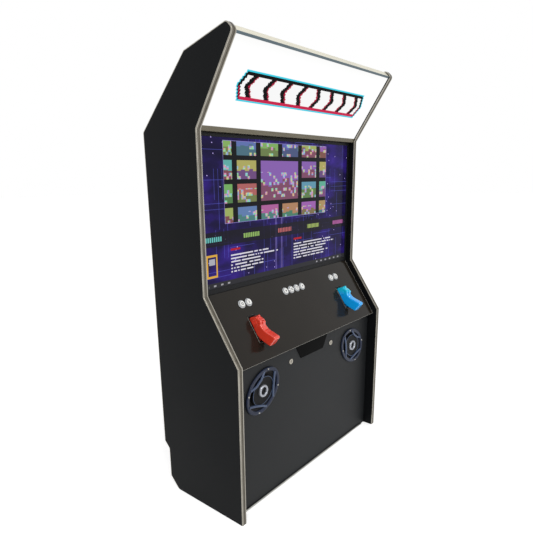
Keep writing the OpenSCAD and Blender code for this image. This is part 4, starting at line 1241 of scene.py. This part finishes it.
for name, start, end in (("slope_board_screws", SHOULDER, RIDGE), ("roof_board_screws", RIDGE, BROW)):
    run = end - start
    way = run.normalized()
    inward = Vector((-way.y, way.x))
    marks = []
    for side in (-1, 1):
        for share in (0, 0.5, 1):
            point = start + inward * BOARD_INSET
            point += way * (END_GAP + (run.length - 2 * END_GAP) * share)
            marks.append((side * SCREW_X, FRONT_EDGE + point.x, point.y))
    outward = Vector((0, -inward.x, -inward.y))
    turn = outward.to_track_quat("Z", "X").to_matrix().to_4x4() @ in_mm
    screws(name, marks, turn, "cabinet", "zinc_steel", zinc)

# %% Turn the lock heads
bezel_profile = [(5.6, -27), (5.6, 1.0), (6.5, 1.9), (9.4, 2.0), (11.0, 1.5), (11.7, 0.5), (11.7, 0),
                 (8.9, 0), (8.9, -27)]


def lock_heads(name, marks, turn, body, replaced):
    shell = bmesh.new()
    turned(shell, bezel_profile, closed=True, steps=40)
    nut_rings = [oval(r, r, z, 6) for r, z in ((11.9, -18), (11.9, -22), (8.95, -22), (8.95, -18))]
    loft(shell, nut_rings, closed=True)
    made = on_marks(name, shell, turn, marks, nickel)
    settle(made, nickel, body, "nickel", replaced)


REAR_LOCK_UP = 0.876
front_locks = [on_panel @ Vector((x_mm, LOCK_UP, 0)) for x_mm in (-LOCK_OUT, LOCK_OUT)]
rear_locks = [(0, REAR_FACE, REAR_LOCK_UP)]
lock_heads("front_lock_heads", front_locks, turn_only(on_panel), "front_panel", "lock_barrels")
lock_heads("rear_lock_head", rear_locks, facing_back, "rear_door", "rear_lock_barrel")

# %% [markdown]
# ## Floor, light and background
# The photograph stands on white. The floor is a wide pale sheet that keeps the cabinet's shadow.
# For what the camera or a mirror sees, it gives off a little more light, so that it reads as white;
# it doesn't light the cabinet with it. The world does the same.

# %% Lay the floor
def seen(nodes):
    """1 for what the camera or a mirror sees, 0 for the light that falls on a dull surface."""
    camera = nodes.node("LightPath", out="Is Camera Ray")
    return camera.maths("MAXIMUM", nodes.node("LightPath", out="Is Glossy Ray"))


floor_mesh = bpy.data.meshes.new("floor")
corners = [(-30, -30, 0), (30, -30, 0), (30, 30, 0), (-30, 30, 0)]
floor_mesh.from_pydata(corners, [], [(0, 1, 2, 3)])
floor = bpy.data.objects.new("floor", floor_mesh)
bpy.context.scene.collection.objects.link(floor)
pale = Finish("pale_floor", Base_Color=(0.86, 0.86, 0.86, 1), Roughness=0.9)
pale.vary(Emission_Color=(1, 1, 1, 1), Emission_Strength=seen(pale) * 0.5)
floor_mesh.materials.append(pale.material)
print("floor laid,", floor.dimensions.x, "m across")

# %% Light the room
ROOM_LIGHT = 0.62
world = bpy.data.worlds.new("studio")
bpy.context.scene.world = world
world.use_nodes = True
room = Nodes(world.node_tree)
backdrop = world.node_tree.nodes["Background"]
backdrop.inputs["Color"].default_value = (1, 1, 1, 1)
limits = {"Value": seen(room), "To Min": ROOM_LIGHT, "To Max": 1.0}
room.feed(backdrop.inputs["Strength"], room.node("MapRange", (), limits))


def lamp(name, place, aim, size, watts):
    data = bpy.data.lights.new(name, "AREA")
    data.size = size
    data.energy = watts
    made = bpy.data.objects.new(name, data)
    made.matrix_world = Matrix.Translation(place) @ (
        (Vector(aim) - Vector(place)).to_track_quat("-Z", "Y").to_matrix().to_4x4())
    bpy.context.scene.collection.objects.link(made)


lamp("key_lamp", (-2.2, -3.2, 3.4), (0, 0, 0.9), 1.6, 60)
lamp("fill_lamp", (0.9, -3.6, 2.0), (0, 0, 0.8), 1.6, 25)
lamp("spark_lamp", (-2.1, -1.2, 2.9), (0, 0, 0.8), 0.35, 14)
bpy.context.scene.view_settings.view_transform = "Standard"
print("three lamps and a white room at", ROOM_LIGHT)
